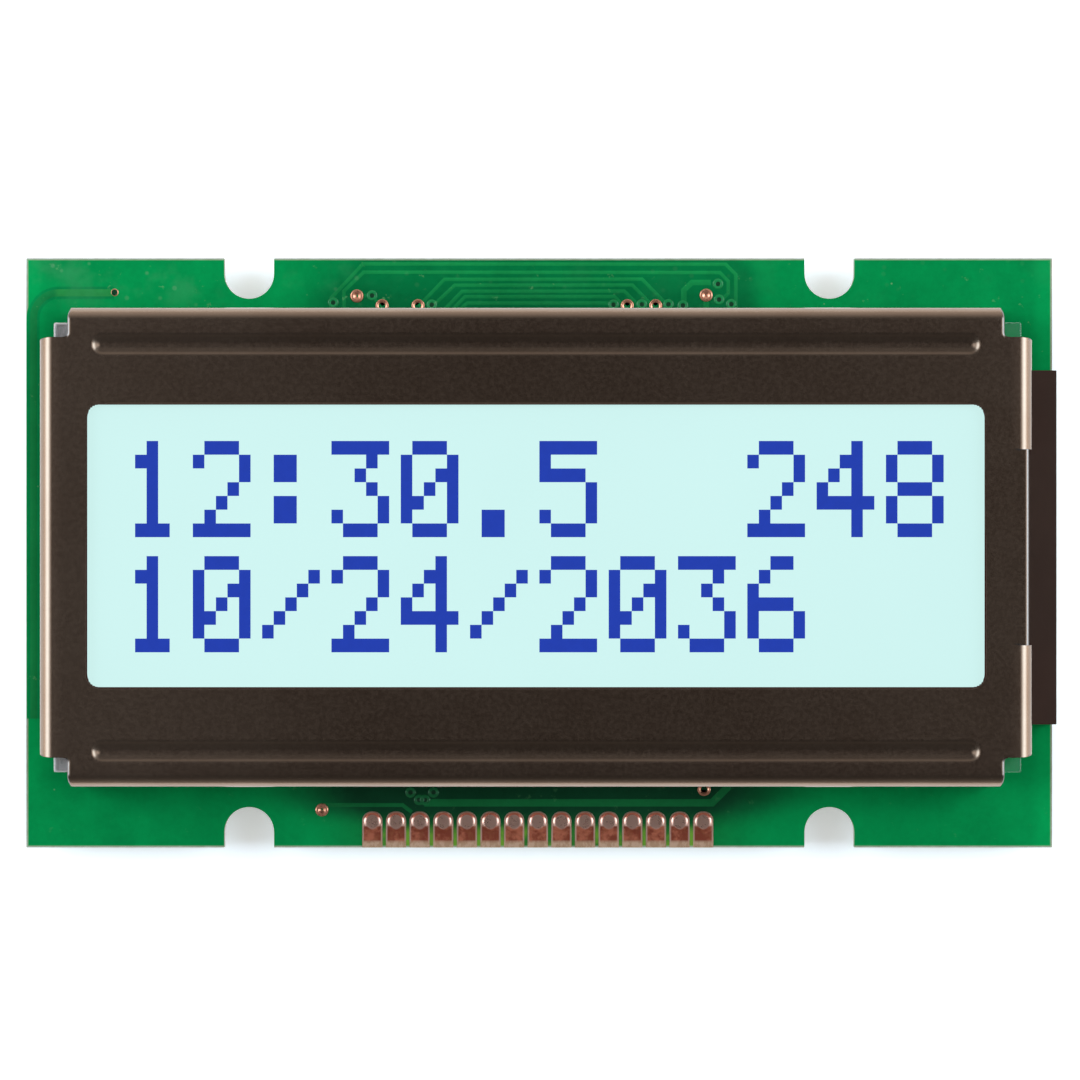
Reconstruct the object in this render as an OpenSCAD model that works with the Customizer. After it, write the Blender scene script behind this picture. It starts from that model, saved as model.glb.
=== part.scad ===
// Character display module, 12 characters by 2 lines: a dot-matrix glass cell held on its
// circuit board by a pressed steel bezel, with a light guide lit from one end.
//
// Frame: origin at the centre of the board's back face, +X to the right and +Y up as the
// display is read, +Z out of its front. Everything under the bezel is drawn about the
// bezel's own centre, which lies a little off the board's.

/* [Board] */
// Width of the circuit board
board_w = 55.7; // [54.5:0.1:60]
// Height of the circuit board
board_h = 32.0; // [31.5:0.1:36]
// Thickness of the circuit board
board_t = 1.6; // [1.0:0.1:2.0]
// Width of the open screw notches in the long edges
notch_w = 2.7; // [2.2:0.1:3.0]
// Depth of the screw notches from the board's edge
notch_depth = 2.2; // [1.6:0.1:2.3]
// Distance of the notches' middles from the board's short edges
notch_inset = 12.1; // [11:0.1:13.5]

/* [Edge pads] */
// Number of solder pads along the lower edge
pad_count = 15; // [8:1:16]
// Distance from pad to pad
pad_pitch = 1.27; // [1.20:0.01:1.40]
// Width of one pad
pad_w = 1.08; // [0.8:0.02:1.12]
// Length of one pad from the board's edge to its round end
pad_len = 1.88; // [1.5:0.02:2.2]
// Thickness of the pad's copper
pad_t = 0.06; // [0.04:0.01:0.10]
// Height of the tinned cushion on the round end of each pad
cushion_h = 0.10; // [0.05:0.01:0.20]

/* [Bezel] */
// Width of the board's border left and right of the bezel
border_x = 1.25; // [1.0:0.05:1.6]
// Height of the board's border above and below the bezel
border_y = 3.1; // [3.0:0.1:4.0]
// Thickness of the bezel's sheet steel
sheet_t = 0.35; // [0.25:0.05:0.45]
// Outer radius of the bends between face and walls
bend_r = 0.65; // [0.55:0.05:0.90]
// Offset of the bezel's centre to the right of the board's
bezel_dx = -0.25; // [-0.4:0.05:0]
// Offset of the bezel's centre above the board's
bezel_dy = 0.30; // [0:0.05:0.4]
// Side of the square that is notched out of each corner
corner_cut = 1.6; // [1.2:0.1:1.8]
// Width of the bezel's face beside the window
window_side = 2.6; // [2.4:0.1:5.0]
// Height of the bezel's face above and below the window
window_band = 5.3; // [4.8:0.1:6.4]
// Corner radius of the viewing window
window_r = 0.5; // [0.2:0.1:1.5]

/* [Pressing grooves] */
// Distance of each groove's centre line from the bezel's long edge
groove_edge = 1.95; // [1.80:0.05:2.10]
// Distance of the grooves' ends from the bezel's short edges
groove_inset = 2.6; // [2.2:0.1:6.0]
// Width of each groove at the face
groove_w = 0.98; // [0.8:0.02:1.1]
// Depth of each groove below the face
groove_depth = 0.30; // [0.25:0.01:0.35]

/* [Lock tabs] */
// Width of each lock tab
tab_w = 2.0; // [1.4:0.1:2.4]
// How far the tabs reach below the board
tab_drop = 1.2; // [0.8:0.1:1.4]
// Angle by which the tabs are twisted to lock them
tab_twist = 35; // [15:5:45]
// Distance of the outer tabs from the bezel's short edges, three tabs to a long wall
tab_inset = 4.0; // [3.6:0.1:5.5]
// Play between a tab's faces and its slot in the board
tab_play = 0.22; // [0.10:0.02:0.26]
// How far the slots sit inwards of the walls that stand over them
slot_shift = 0.14; // [0:0.02:0.16]

/* [Display cell] */
// Thickness of each sheet of glass
glass_t = 1.1; // [0.7:0.1:1.1]
// Thickness of each polarizer
polarizer_t = 0.2; // [0.12:0.02:0.24]
// Thickness of the seal that keeps the two glasses apart
seal_t = 0.05; // [0.03:0.01:0.10]
// Width of the seal's ring
seal_w = 0.8; // [0.5:0.1:1.2]
// Play between the front glass and the bezel's walls
glass_play = 0.25; // [0.20:0.05:0.35]
// Length by which the rear glass is shorter than the front glass at each end
end_step = 0.4; // [0.3:0.05:0.5]
// How far the polarizers stay inside the rear glass's edges
polarizer_inset = 0.5; // [0.3:0.1:0.8]

/* [Elastomer strips] */
// Width of each conductive elastomer strip
strip_w = 2.3; // [2.0:0.05:2.3]
// How far the strips' ends stay inside the front glass's ends
strip_inset = 1.9; // [1.6:0.1:4.0]
// Distance from contact finger to contact finger under the strips
finger_pitch = 1.6; // [1.2:0.1:2.4]
// Width of one contact finger
finger_w = 1.0; // [0.6:0.05:1.1]

/* [Backlight] */
// Thickness of the light guide
guide_t = 2.0; // [1.6:0.1:2.4]
// Thickness of the backlight frame's floor
floor_t = 0.5; // [0.4:0.05:0.8]
// Thickness of the backlight frame's walls
frame_wall = 0.7; // [0.5:0.05:0.8]
// Thickness of each sheet over and under the light guide
film_t = 0.15; // [0.10:0.01:0.20]
// Width of the gap in the right wall that the lamp reaches through
lamp_gap_w = 10.5; // [10.2:0.1:11.0]
// Depth of the lamp housing's head, outside the bezel's wall
lamp_head = 1.45; // [1.3:0.05:1.7]
// Wall thickness of the lamp housing
lamp_wall = 0.4; // [0.3:0.05:0.45]
// Thickness of the strip board that carries the lamps
lamp_board_t = 0.5; // [0.4:0.05:0.6]
// Length of one lamp
led_len = 2.4; // [2.0:0.1:2.6]
// Gap between two lamps
led_gap = 0.4; // [0.3:0.05:0.6]

/* [Chips] */
// Radius of the round resin covers over the two chips
cover_r = 6.2; // [5:0.1:6.5]
// Height of the resin covers at their flat tops
cover_h = 1.6; // [1.4:0.05:1.9]
// Distance between the two resin covers
cover_pitch = 24.0; // [20:0.5:28]

/* [Hidden] */
$fn = 64;
eps = 0.01;               // overshoot of a cut past the face that it opens
far = 2;                  // how far a cutting block runs on where nothing is in its way
play = 0.10;              // clearance of a loose fit

// Heights, from the board's back face up
finger_t = 0.04;
guide_z = board_t + floor_t + film_t;
frame_top = guide_z + guide_t + 2 * film_t;
rear_glass_z = frame_top + polarizer_t;
seal_z = rear_glass_z + glass_t;
front_glass_z = seal_z + seal_t;
glass_top = front_glass_z + glass_t;
face_under = glass_top + groove_depth;
face_z = face_under + sheet_t;

// Bezel, about its own centre
bezel_w = board_w - 2 * border_x;
bezel_h = board_h - 2 * border_y;
window_w = bezel_w - 2 * window_side;
window_h = bezel_h - 2 * window_band;
groove_y = bezel_h / 2 - groove_edge;
groove_len = bezel_w - 2 * groove_inset;
wall_x = bezel_w / 2 - sheet_t;            // inner faces of the walls
wall_y = bezel_h / 2 - sheet_t;
span_x = bezel_w / 2 - corner_cut;         // half lengths of the walls
span_y = bezel_h / 2 - corner_cut;
bend_taper = 0.2;                          // how much a wall narrows over its bend
corner_fillet = 0.25;
lip_len = 0.4;
lip = bezel_w / 2 - bend_r + lip_len;      // edge of the flat lip over the lamp
groove_r = (pow(groove_w / 2, 2) + pow(groove_depth, 2)) / (2 * groove_depth);

// Tabs and their slots
tab_x = bezel_w / 2 - tab_inset;
slot_end = 0.4;
tab_turn_z = -0.10;                        // where the twist begins, below the board
tab_turn_h = 0.60;
tab_steps = 5;
slot_len = tab_w + 2 * slot_end;

// Elastomer strips
strip_y = groove_y;                        // the grooves press the glass onto the strips
strip_play = 0.10;
finger_len = 2.0;

// Cell
glass_x = wall_x - glass_play;
glass_y = wall_y - glass_play;
rear_x = glass_x - end_step;
rear_y = strip_y - strip_w / 2 - strip_play;
strip_len = 2 * (glass_x - strip_inset);
finger_count = floor((strip_len - finger_w) / finger_pitch) + 1;
seal_inset = 0.3;
plug_w = 3.0;
plug_out = 0.30;
plug_h = 0.7;

// Backlight, about the bezel's centre
frame_gap = 0.25;                          // between the frame and the elastomer strips
frame_short = 0.80;                        // from the frame's lamp end to the bezel's lip
frame_x0 = -wall_x + glass_play;
frame_x1 = lip - frame_short;
frame_y = strip_y - strip_w / 2 - frame_gap;
post_w = 1.2;
post_y = glass_y;
post_clear = 0.2;
guide_x0 = frame_x0 + frame_wall + play;
guide_x1 = frame_x1 - frame_wall - play;
guide_y = frame_y - frame_wall - play;
lamp_len = 2 * frame_y;                    // the lamp housing is as long as the frame's end
neck_play = 0.2;
neck_y = lamp_gap_w / 2 - neck_play;       // half width of the lamp housing's neck
neck_wall = 0.3;
lamp_roof = 0.3;
lamp_x0 = bezel_w / 2 + play;              // the housing's head starts just outside the wall
lamp_reach = lamp_x0 + lamp_head;
lamp_board_x = lamp_reach - lamp_wall - lamp_board_t;
led_depth = 1.0;
led_h = 1.2;
led_cup = 0.3;
led_rim = 0.2;
guide_end = lamp_board_x - led_depth - play;
lead_d = 0.45;
lead_x = lamp_board_x - lead_d / 2;
lead_y = 5.9;
lead_drop = 1.0;
lead_hole_d = 0.8;
cone_r = 0.7;
cone_tip_r = 0.32;
cone_h = 0.7;

// Plated points on the board's front: x, distance from the long edge, the edge's side, and
// whether the hole is open
vias = [
    [-9.90, 2.05, 1, false], [-8.53, 2.40, 1, true], [-6.58, 2.40, 1, true],
    [4.76, 2.40, 1, true], [6.28, 2.40, 1, true], [9.04, 2.00, 1, false],
    [-11.85, 1.95, -1, false], [8.93, 2.98, -1, true]
];
via_d = 0.72;
via_hole_d = 0.36;
via_t = 0.05;

// Chips on the back
die_l = 3.2;
die_w = 2.6;
die_t = 0.4;
cover_cut = 0.6;
cover_full = cover_h + cover_cut;          // height of the cap before its top is flattened
cover_sphere = (cover_r * cover_r + cover_full * cover_full) / (2 * cover_full);
chip_l = 2.0;
chip_w = 1.25;
chip_h = 0.5;
chip_pitch = 2.6;
chip_count = 6;
chip_row_inset = 6.6;                      // from the board's long edge
chip_row_y = -board_h / 2 + chip_row_inset;
cap_x = [-3.2, 3.2];
cap_inset = 6.8;
cap_y = board_h / 2 - cap_inset;
cap_h = 0.8;
fillet_l = 0.4;

// ---- Shared shapes ----

module box(x0, x1, y0, y1, z0, z1) {
    translate([x0, y0, z0]) cube([x1 - x0, y1 - y0, z1 - z0]);
}

// A plate about the bezel's centre, half sizes hx and hy
module sheet(hx, hy, z, t) {
    box(-hx, hx, -hy, hy, z, z + t);
}

// Places children about the bezel's centre
module at_bezel() {
    translate([bezel_dx, bezel_dy, 0]) children();
}

module rounded_rect(w, h, r) {
    square([w - 2 * r, h], center = true);
    square([w, h - 2 * r], center = true);
    for (sx = [-1, 1], sy = [-1, 1])
        translate([sx * (w / 2 - r), sy * (h / 2 - r)]) circle(r);
}

// A slot with round ends, along X, centred
module round_slot(length, width) {
    square([length - width, width], center = true);
    for (s = [-1, 1]) translate([s * (length - width) / 2, 0]) circle(width / 2);
}

// Places children at a plated point
module at_via(v) {
    translate([v[0], v[2] * (board_h / 2 - v[1]), 0]) children();
}

// ---- Board ----

module notch() {
    // opens upwards; its round end is centred on the origin
    circle(notch_w / 2);
    translate([-notch_w / 2, 0]) square([notch_w, notch_depth]);
}

// Places a child at each lock tab of the long walls, its outer side away from the middle
module at_tabs() {
    for (x = [-tab_x, 0, tab_x], side = [0, 1])
        mirror([0, side, 0]) translate([x, wall_y + sheet_t / 2, 0]) children();
}

module board() {
    color("seagreen") difference() {
        linear_extrude(board_t) difference() {
            square([board_w, board_h], center = true);
            for (sx = [-1, 1], sy = [0, 1])
                mirror([0, sy, 0])
                    translate([sx * (board_w / 2 - notch_inset),
                               board_h / 2 - notch_depth + notch_w / 2])
                        notch();
        }
        at_bezel() {
            at_tabs() translate([0, -slot_shift, -eps])
                linear_extrude(board_t + 2 * eps) round_slot(slot_len, sheet_t + 2 * tab_play);
            for (s = [-1, 1])
                translate([lead_x, s * lead_y, -eps])
                    cylinder(d = lead_hole_d, h = board_t + 2 * eps);
        }
        for (v = vias) if (v[3])
            at_via(v) translate([0, 0, -eps]) cylinder(d = via_hole_d, h = board_t + 2 * eps);
    }
}

module edge_pad() {
    straight = pad_len - pad_w / 2;
    linear_extrude(pad_t) {
        translate([-pad_w / 2, 0]) square([pad_w, straight]);
        translate([0, straight]) circle(pad_w / 2);
    }
    // tinned cushion, flat on top with a round shoulder
    translate([0, straight, pad_t]) rotate_extrude() {
        square([pad_w / 2 - cushion_h, cushion_h]);
        intersection() {
            translate([pad_w / 2 - cushion_h, 0]) circle(cushion_h);
            square([pad_w / 2, cushion_h]);
        }
    }
}

module edge_pads() {
    color("peru") for (i = [0:pad_count - 1])
        translate([(i - (pad_count - 1) / 2) * pad_pitch, -board_h / 2, board_t]) edge_pad();
}

module plated_points() {
    color("chocolate") for (v = vias) at_via(v) translate([0, 0, board_t]) difference() {
        cylinder(d = via_d, h = via_t);
        if (v[3]) translate([0, 0, -eps]) cylinder(d = via_hole_d, h = via_t + 2 * eps);
    }
}

module contact_fingers() {
    color("gold") at_bezel() for (side = [-1, 1], i = [0:finger_count - 1])
        translate([(i - (finger_count - 1) / 2) * finger_pitch, side * strip_y, board_t])
            linear_extrude(finger_t) square([finger_w, finger_len], center = true);
}

// ---- Bezel ----

// Section of a folded sheet: a face of the given width with a leg down each side
module channel_section(width, foot) {
    module outline(w, top, r) {
        translate([-w / 2, foot]) square([w, top - r - foot]);
        translate([-w / 2 + r, foot]) square([w - 2 * r, top - foot]);
        for (s = [-1, 1]) translate([s * (w / 2 - r), top - r]) circle(r);
    }
    difference() {
        outline(width, face_z, bend_r);
        translate([0, -eps]) outline(width - 2 * sheet_t, face_under + eps, bend_r - sheet_t);
        translate([-width / 2 + sheet_t, foot - far]) square([width - 2 * sheet_t, far + eps]);
    }
}

// What is left of a wall seen from its own side: tapered over the bend, standing on the
// board, with the lock tabs running on below at the places given
module wall_outline(half, tabs) {
    bend_z = face_z - bend_r;
    polygon([[-half, face_z + eps], [half, face_z + eps],
             [half - bend_taper, bend_z], [half - bend_taper, board_t],
             [-half + bend_taper, board_t], [-half + bend_taper, bend_z]]);
    for (x = tabs)
        translate([x - tab_w / 2, tab_turn_z])
            square([tab_w, board_t + eps - tab_turn_z]);
}

// One folded strip of the bezel along X: its section and its side view intersected
module folded_strip(width, half, tabs) {
    intersection() {
        rotate([90, 0, 90]) translate([0, 0, -half])
            linear_extrude(2 * half) channel_section(width, tab_turn_z);
        rotate([90, 0, 0]) linear_extrude(width + far, center = true)
            wall_outline(half, tabs);
    }
}

// Rounds the inner corners between the arms of the cross-shaped face
module corner_fillets() {
    for (sx = [-1, 1], sy = [-1, 1]) mirror([sx < 0 ? 1 : 0, 0, 0]) mirror([0, sy < 0 ? 1 : 0, 0])
        translate([span_x, span_y, face_under]) difference() {
            translate([-eps, -eps, 0]) cube([corner_fillet + eps, corner_fillet + eps, sheet_t]);
            translate([corner_fillet, corner_fillet, -eps])
                cylinder(r = corner_fillet, h = sheet_t + 2 * eps, $fn = 32);
        }
}

// A bar with ball ends whose lower side has the groove's curve, grown by the sheet
module groove_bar(grow) {
    r = groove_r + grow;
    half = (groove_len - groove_w) / 2;
    translate([0, 0, face_z + groove_r - groove_depth]) {
        rotate([0, 90, 0]) cylinder(r = r, h = 2 * half, center = true);
        for (s = [-1, 1]) translate([s * half, 0, 0]) sphere(r);
    }
}

module groove_ribs() {
    for (s = [-1, 1]) translate([0, s * groove_y, 0]) intersection() {
        groove_bar(sheet_t);
        box(-groove_len, groove_len, -groove_w, groove_w, glass_top, face_under + sheet_t / 2);
    }
}

// The locked end of a tab: turned step by step under the board, then straight to its tip
module tab_end() {
    step_h = tab_turn_h / tab_steps;
    for (i = [1:tab_steps]) {
        top = tab_turn_z - (i - 1) * step_h;
        foot = i < tab_steps ? top - step_h : -tab_drop;
        translate([0, 0, foot]) rotate(tab_twist * i / tab_steps)
            linear_extrude(top - foot) square([tab_w, sheet_t], center = true);
    }
}

module bezel() {
    color([0.20, 0.16, 0.13]) at_bezel() difference() {
        union() {
            folded_strip(bezel_h, span_x, [-tab_x, 0, tab_x]);
            difference() {
                rotate(90) folded_strip(bezel_w, span_y, []);
                box(bezel_w / 2 - bend_r, bezel_w, -lamp_gap_w / 2, lamp_gap_w / 2,
                    -tab_drop, face_z + far);
            }
            box(bezel_w / 2 - bend_r - far, lip, -lamp_gap_w / 2, lamp_gap_w / 2,
                face_under, face_z);
            corner_fillets();
            groove_ribs();
            at_tabs() tab_end();
        }
        translate([0, 0, face_under - far]) linear_extrude(sheet_t + 2 * far)
            rounded_rect(window_w, window_h, window_r);
        for (s = [-1, 1]) translate([0, s * groove_y, 0]) groove_bar(0);
    }
}

// ---- Display cell ----

module front_polarizer() {
    color([0.81, 0.95, 0.94]) at_bezel()
        sheet(rear_x - polarizer_inset, rear_y - polarizer_inset, glass_top, polarizer_t);
}

module front_glass() {
    color([0.75, 0.88, 0.84, 0.5]) at_bezel() sheet(glass_x, glass_y, front_glass_z, glass_t);
}

module cell_seal() {
    outer_x = rear_x - seal_inset;
    outer_y = rear_y - seal_inset;
    color("silver") at_bezel() difference() {
        sheet(outer_x, outer_y, seal_z, seal_t);
        sheet(outer_x - seal_w, outer_y - seal_w, seal_z - far, seal_t + 2 * far);
        // the port that the cell is filled through
        box(-rear_x, -outer_x + seal_w + eps, -plug_w / 4, plug_w / 4,
            seal_z - far, seal_z + far);
    }
}

// The dab of resin that closes the filling port
module fill_plug() {
    r = (plug_w * plug_w / 4 + plug_out * plug_out) / (2 * plug_out);
    color("wheat") at_bezel() intersection() {
        translate([-rear_x - plug_out + r, 0, front_glass_z - plug_h])
            cylinder(r = r, h = plug_h);
        box(-glass_x - far, -rear_x, -plug_w, plug_w, 0, face_z);
    }
}

module rear_glass() {
    color([0.75, 0.88, 0.84, 0.5]) at_bezel() sheet(rear_x, rear_y, rear_glass_z, glass_t);
}

module rear_polarizer() {
    color([0.72, 0.80, 0.80]) at_bezel()
        sheet(rear_x - polarizer_inset, rear_y - polarizer_inset, frame_top, polarizer_t);
}

module elastomer_strip(side) {
    color([0.55, 0.60, 0.70]) at_bezel() translate([0, side * strip_y, 0])
        sheet(strip_len / 2, strip_w / 2, board_t + finger_t,
              front_glass_z - board_t - finger_t);
}

// ---- Backlight ----

module backlight_frame() {
    module corner_post() {
        box(frame_x0, frame_x0 + post_w, frame_y - eps, post_y, board_t, frame_top);
        box(frame_x0, frame_x0 + post_w, rear_y + post_clear, post_y,
            frame_top - eps, front_glass_z);
    }
    color([0.90, 0.90, 0.88]) at_bezel() {
        difference() {
            box(frame_x0, frame_x1, -frame_y, frame_y, board_t, frame_top);
            box(frame_x0 + frame_wall, frame_x1 - frame_wall, -frame_y + frame_wall,
                frame_y - frame_wall, board_t + floor_t, frame_top + far);
            // doorway for the light guide's neck
            box(frame_x1 - frame_wall - far, frame_x1 + far, -neck_y + neck_wall,
                neck_y - neck_wall, board_t + floor_t, frame_top + far);
        }
        corner_post();
        mirror([0, 1, 0]) corner_post();
    }
}

module light_guide() {
    neck = neck_y - neck_wall - play;
    color([0.85, 0.95, 1.0, 0.6]) at_bezel() {
        box(guide_x0, guide_x1, -guide_y, guide_y, guide_z, guide_z + guide_t);
        box(guide_x1 - eps, guide_end, -neck, neck, guide_z, guide_z + guide_t);
    }
}

// A sheet that covers the guide's body, one of the stack
module film(z) {
    at_bezel() box(guide_x0, guide_x1, -guide_y, guide_y, z, z + film_t);
}

module reflector_sheet() {
    color("white") film(board_t + floor_t);
}

module diffuser_sheet() {
    color("whitesmoke") film(guide_z + guide_t);
}

module prism_sheet() {
    color("gainsboro") film(guide_z + guide_t + film_t);
}

module lamp_housing() {
    neck_x0 = frame_x1 + play;
    roof = frame_top - lamp_roof;
    color([0.18, 0.14, 0.12]) at_bezel() difference() {
        union() {
            box(lamp_x0, lamp_reach, -lamp_len / 2, lamp_len / 2, board_t, frame_top);
            box(neck_x0, lamp_x0 + eps, -neck_y, neck_y, board_t, frame_top);
        }
        box(lamp_x0 - eps, lamp_reach - lamp_wall, -lamp_len / 2 + lamp_wall,
            lamp_len / 2 - lamp_wall, board_t - far, roof);
        box(neck_x0 - far, lamp_x0 + play, -neck_y + neck_wall, neck_y - neck_wall,
            board_t - far, roof);
    }
}

module lamp_board() {
    half = lamp_len / 2 - lamp_wall - play;
    color([0.85, 0.80, 0.60]) at_bezel()
        box(lamp_board_x, lamp_board_x + lamp_board_t, -half, half,
            board_t + play, frame_top - lamp_roof);
}

module led(i) {
    mid = guide_z + guide_t / 2;
    color("ivory") at_bezel() translate([0, i * (led_len + led_gap), 0]) difference() {
        box(lamp_board_x - led_depth, lamp_board_x, -led_len / 2, led_len / 2,
            mid - led_h / 2, mid + led_h / 2);
        // the shallow cup that the light comes out of
        box(lamp_board_x - led_depth - far, lamp_board_x - led_depth + led_cup,
            -led_len / 2 + led_cup, led_len / 2 - led_cup,
            mid - led_h / 2 + led_rim, mid + led_h / 2 - led_rim);
    }
}

module lamp_lead(side) {
    color("silver") at_bezel() translate([lead_x, side * lead_y, -lead_drop])
        cylinder(d = lead_d, h = lead_drop + board_t + floor_t + film_t, $fn = 32);
}

// Cones of solder round the leads, under the board
module lead_solder() {
    color("lightgray") at_bezel() for (s = [-1, 1])
        translate([lead_x, s * lead_y, 0]) mirror([0, 0, 1]) difference() {
            cylinder(r1 = cone_r, r2 = cone_tip_r, h = cone_h, $fn = 32);
            translate([0, 0, -eps]) cylinder(d = lead_d, h = cone_h + 2 * eps, $fn = 32);
        }
}

// ---- Chips on the back ----

module at_cover(side) {
    translate([side * cover_pitch / 2, 0, 0]) mirror([0, 0, 1]) children();
}

module die(side) {
    color("dimgray") at_cover(side)
        translate([-die_l / 2, -die_w / 2, 0]) cube([die_l, die_w, die_t]);
}

// A cap of a ball, flattened on top, with the chip's place left in it
module resin_cover(side) {
    color([0.07, 0.07, 0.07]) at_cover(side) difference() {
        intersection() {
            translate([0, 0, cover_full - cover_sphere]) sphere(cover_sphere, $fn = 128);
            cylinder(r = cover_r + far, h = cover_h);
        }
        translate([-die_l / 2, -die_w / 2, -eps]) cube([die_l, die_w, die_t + eps]);
    }
}

function chip_x(i) = (i - (chip_count + 1) / 2) * chip_pitch;

// A chip standing across the row, its ends at the top and the bottom
module chip(x, y, h) {
    translate([x - chip_w / 2, y - chip_l / 2, -h]) cube([chip_w, chip_l, h]);
}

module resistor(i) {
    color([0.12, 0.12, 0.13]) chip(chip_x(i), chip_row_y, chip_h);
}

module capacitor(i) {
    color([0.70, 0.58, 0.42]) chip(cap_x[i - 1], cap_y, cap_h);
}

// Fillets of solder at both ends of a chip
module end_fillets(x, y, h) {
    for (s = [0, 1]) translate([x, y, 0]) mirror([0, s, 0])
        translate([-chip_w / 2, chip_l / 2, 0]) rotate([90, 0, 90])
            linear_extrude(chip_w) polygon([[0, 0], [fillet_l, 0], [0, -0.8 * h]]);
}

module chip_solder() {
    color("lightgray") {
        for (i = [1:chip_count]) end_fillets(chip_x(i), chip_row_y, chip_h);
        for (x = cap_x) end_fillets(x, cap_y, cap_h);
    }
}

// ---- Nodes ----

board();
edge_pads();
plated_points();
contact_fingers();
bezel();
front_polarizer();
front_glass();
cell_seal();
fill_plug();
rear_glass();
rear_polarizer();
elastomer_strip(1);  // elastomer_strip_upper
elastomer_strip(-1);  // elastomer_strip_lower
backlight_frame();
light_guide();
reflector_sheet();
diffuser_sheet();
prism_sheet();
lamp_housing();
lamp_board();
for (i = [1:3])
    led(i - 2);
lamp_lead(1);  // lamp_lead_anode
lamp_lead(-1);  // lamp_lead_cathode
lead_solder();
die(-1);  // controller_die
resin_cover(-1);  // controller_cover
die(1);  // driver_die
resin_cover(1);  // driver_cover
for (i = [1:chip_count])
    resistor(i);
for (i = [1:2])
    capacitor(i);
chip_solder();
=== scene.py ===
import math

import bmesh
import bpy
import numpy as np
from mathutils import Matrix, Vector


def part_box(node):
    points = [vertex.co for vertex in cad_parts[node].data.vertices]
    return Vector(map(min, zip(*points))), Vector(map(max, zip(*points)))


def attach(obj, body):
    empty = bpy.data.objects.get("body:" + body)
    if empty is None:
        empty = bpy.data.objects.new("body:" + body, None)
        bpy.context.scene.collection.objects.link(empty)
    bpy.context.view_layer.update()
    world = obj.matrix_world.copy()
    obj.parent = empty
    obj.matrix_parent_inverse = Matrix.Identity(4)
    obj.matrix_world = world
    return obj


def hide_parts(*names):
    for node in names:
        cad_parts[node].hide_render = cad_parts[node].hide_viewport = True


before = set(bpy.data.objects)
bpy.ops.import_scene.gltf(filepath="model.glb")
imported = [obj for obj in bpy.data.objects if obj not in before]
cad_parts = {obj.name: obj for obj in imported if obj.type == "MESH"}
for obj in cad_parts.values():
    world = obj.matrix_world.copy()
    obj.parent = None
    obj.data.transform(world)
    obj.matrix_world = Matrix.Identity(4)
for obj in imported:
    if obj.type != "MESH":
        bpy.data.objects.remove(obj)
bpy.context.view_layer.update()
print("frame loaded:", len(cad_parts), "nodes")

mm = 0.001


def boxMm(node):
    # lowest and highest corner of a solid, in millimetres
    low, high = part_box(node)
    return np.array(low) / mm, np.array(high) / mm


boardHigh = boxMm("board")[1]
boardTop = boardHigh[2]
restZ = boxMm("controller_cover")[0][2]

# node trees: signals that can be reckoned with like numbers


def wire(source, socket):
    # feeds a socket from a signal, a colour or a number
    if isinstance(source, Signal):
        socket.id_data.links.new(source.socket, socket)
    elif isinstance(source, (tuple, list)) and len(source) == 3 and socket.type == "RGBA":
        socket.default_value = (*source, 1)
    else:
        socket.default_value = source


def addNode(tree, kind, inputs=None, **settings):
    node = tree.nodes.new("ShaderNode" + kind)
    for key, value in settings.items():
        setattr(node, key, value)
    for key, value in (inputs or {}).items():
        wire(value, node.inputs[key])
    return node


class Signal:
    # the output of a node
    def __init__(self, socket):
        self.socket = socket
        self.tree = socket.id_data

    def maths(self, operation, other=0.0, swapped=False):
        first, second = (other, self) if swapped else (self, other)
        return Signal(addNode(self.tree, "Math", {0: first, 1: second}, operation=operation).outputs[0])

    def __add__(self, other):
        return self.maths("ADD", other)

    def __sub__(self, other):
        return self.maths("SUBTRACT", other)

    def __rsub__(self, other):
        return self.maths("SUBTRACT", other, swapped=True)

    def __mul__(self, other):
        return self.maths("MULTIPLY", other)

    def __truediv__(self, other):
        return self.maths("DIVIDE", other)

    def __abs__(self):
        return self.maths("ABSOLUTE")

    def atLeast(self, other):
        return self.maths("MAXIMUM", other)

    def between(self, start, end, low=0.0, high=1.0):
        # runs smoothly from low at start to high at end
        inputs = {"Value": self, "From Min": start, "From Max": end, "To Min": low, "To Max": high}
        return Signal(addNode(self.tree, "MapRange", inputs, interpolation_type="SMOOTHSTEP").outputs["Result"])

    def mix(self, first, second):
        # the first colour at nought, the second at one
        return Signal(addNode(self.tree, "Mix", {"Factor": self, 6: first, 7: second}, data_type="RGBA").outputs[2])

    def grey(self):
        return Signal(addNode(self.tree, "CombineColor", {0: self, 1: self, 2: self}).outputs[0])

    def axes(self):
        split = addNode(self.tree, "SeparateXYZ", {0: self}).outputs
        return Signal(split["X"]), Signal(split["Y"]), Signal(split["Z"])

    def noise(self, scale, detail=3.0, roughness=0.55):
        inputs = {"Vector": self, "Scale": scale, "Detail": detail, "Roughness": roughness}
        return Signal(addNode(self.tree, "TexNoise", inputs).outputs["Fac"])

    def specks(self, scale, radius, share):
        # small round specks: near a cell's point, on the share of cells that is picked by its tint
        cells = addNode(self.tree, "TexVoronoi", {"Vector": self, "Scale": scale}).outputs
        near = Signal(cells["Distance"]).between(radius, radius * 0.4)
        tint = addNode(self.tree, "SeparateColor", {0: Signal(cells["Color"])}).outputs[0]
        return near * Signal(tint).maths("LESS_THAN", share)


def product(first, second):
    # a signal's colour times another colour
    inputs = {"Factor": 1.0, 6: first, 7: second}
    return Signal(addNode(first.tree, "Mix", inputs, data_type="RGBA", blend_type="MULTIPLY").outputs[2])


def millimetres(tree, stretch=(1, 1, 1)):
    # object coordinates counted in millimetres
    where = Signal(addNode(tree, "TexCoord").outputs["Object"])
    return Signal(addNode(tree, "Mapping", {"Vector": where, "Scale": [s / mm for s in stretch]}).outputs["Vector"])


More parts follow.
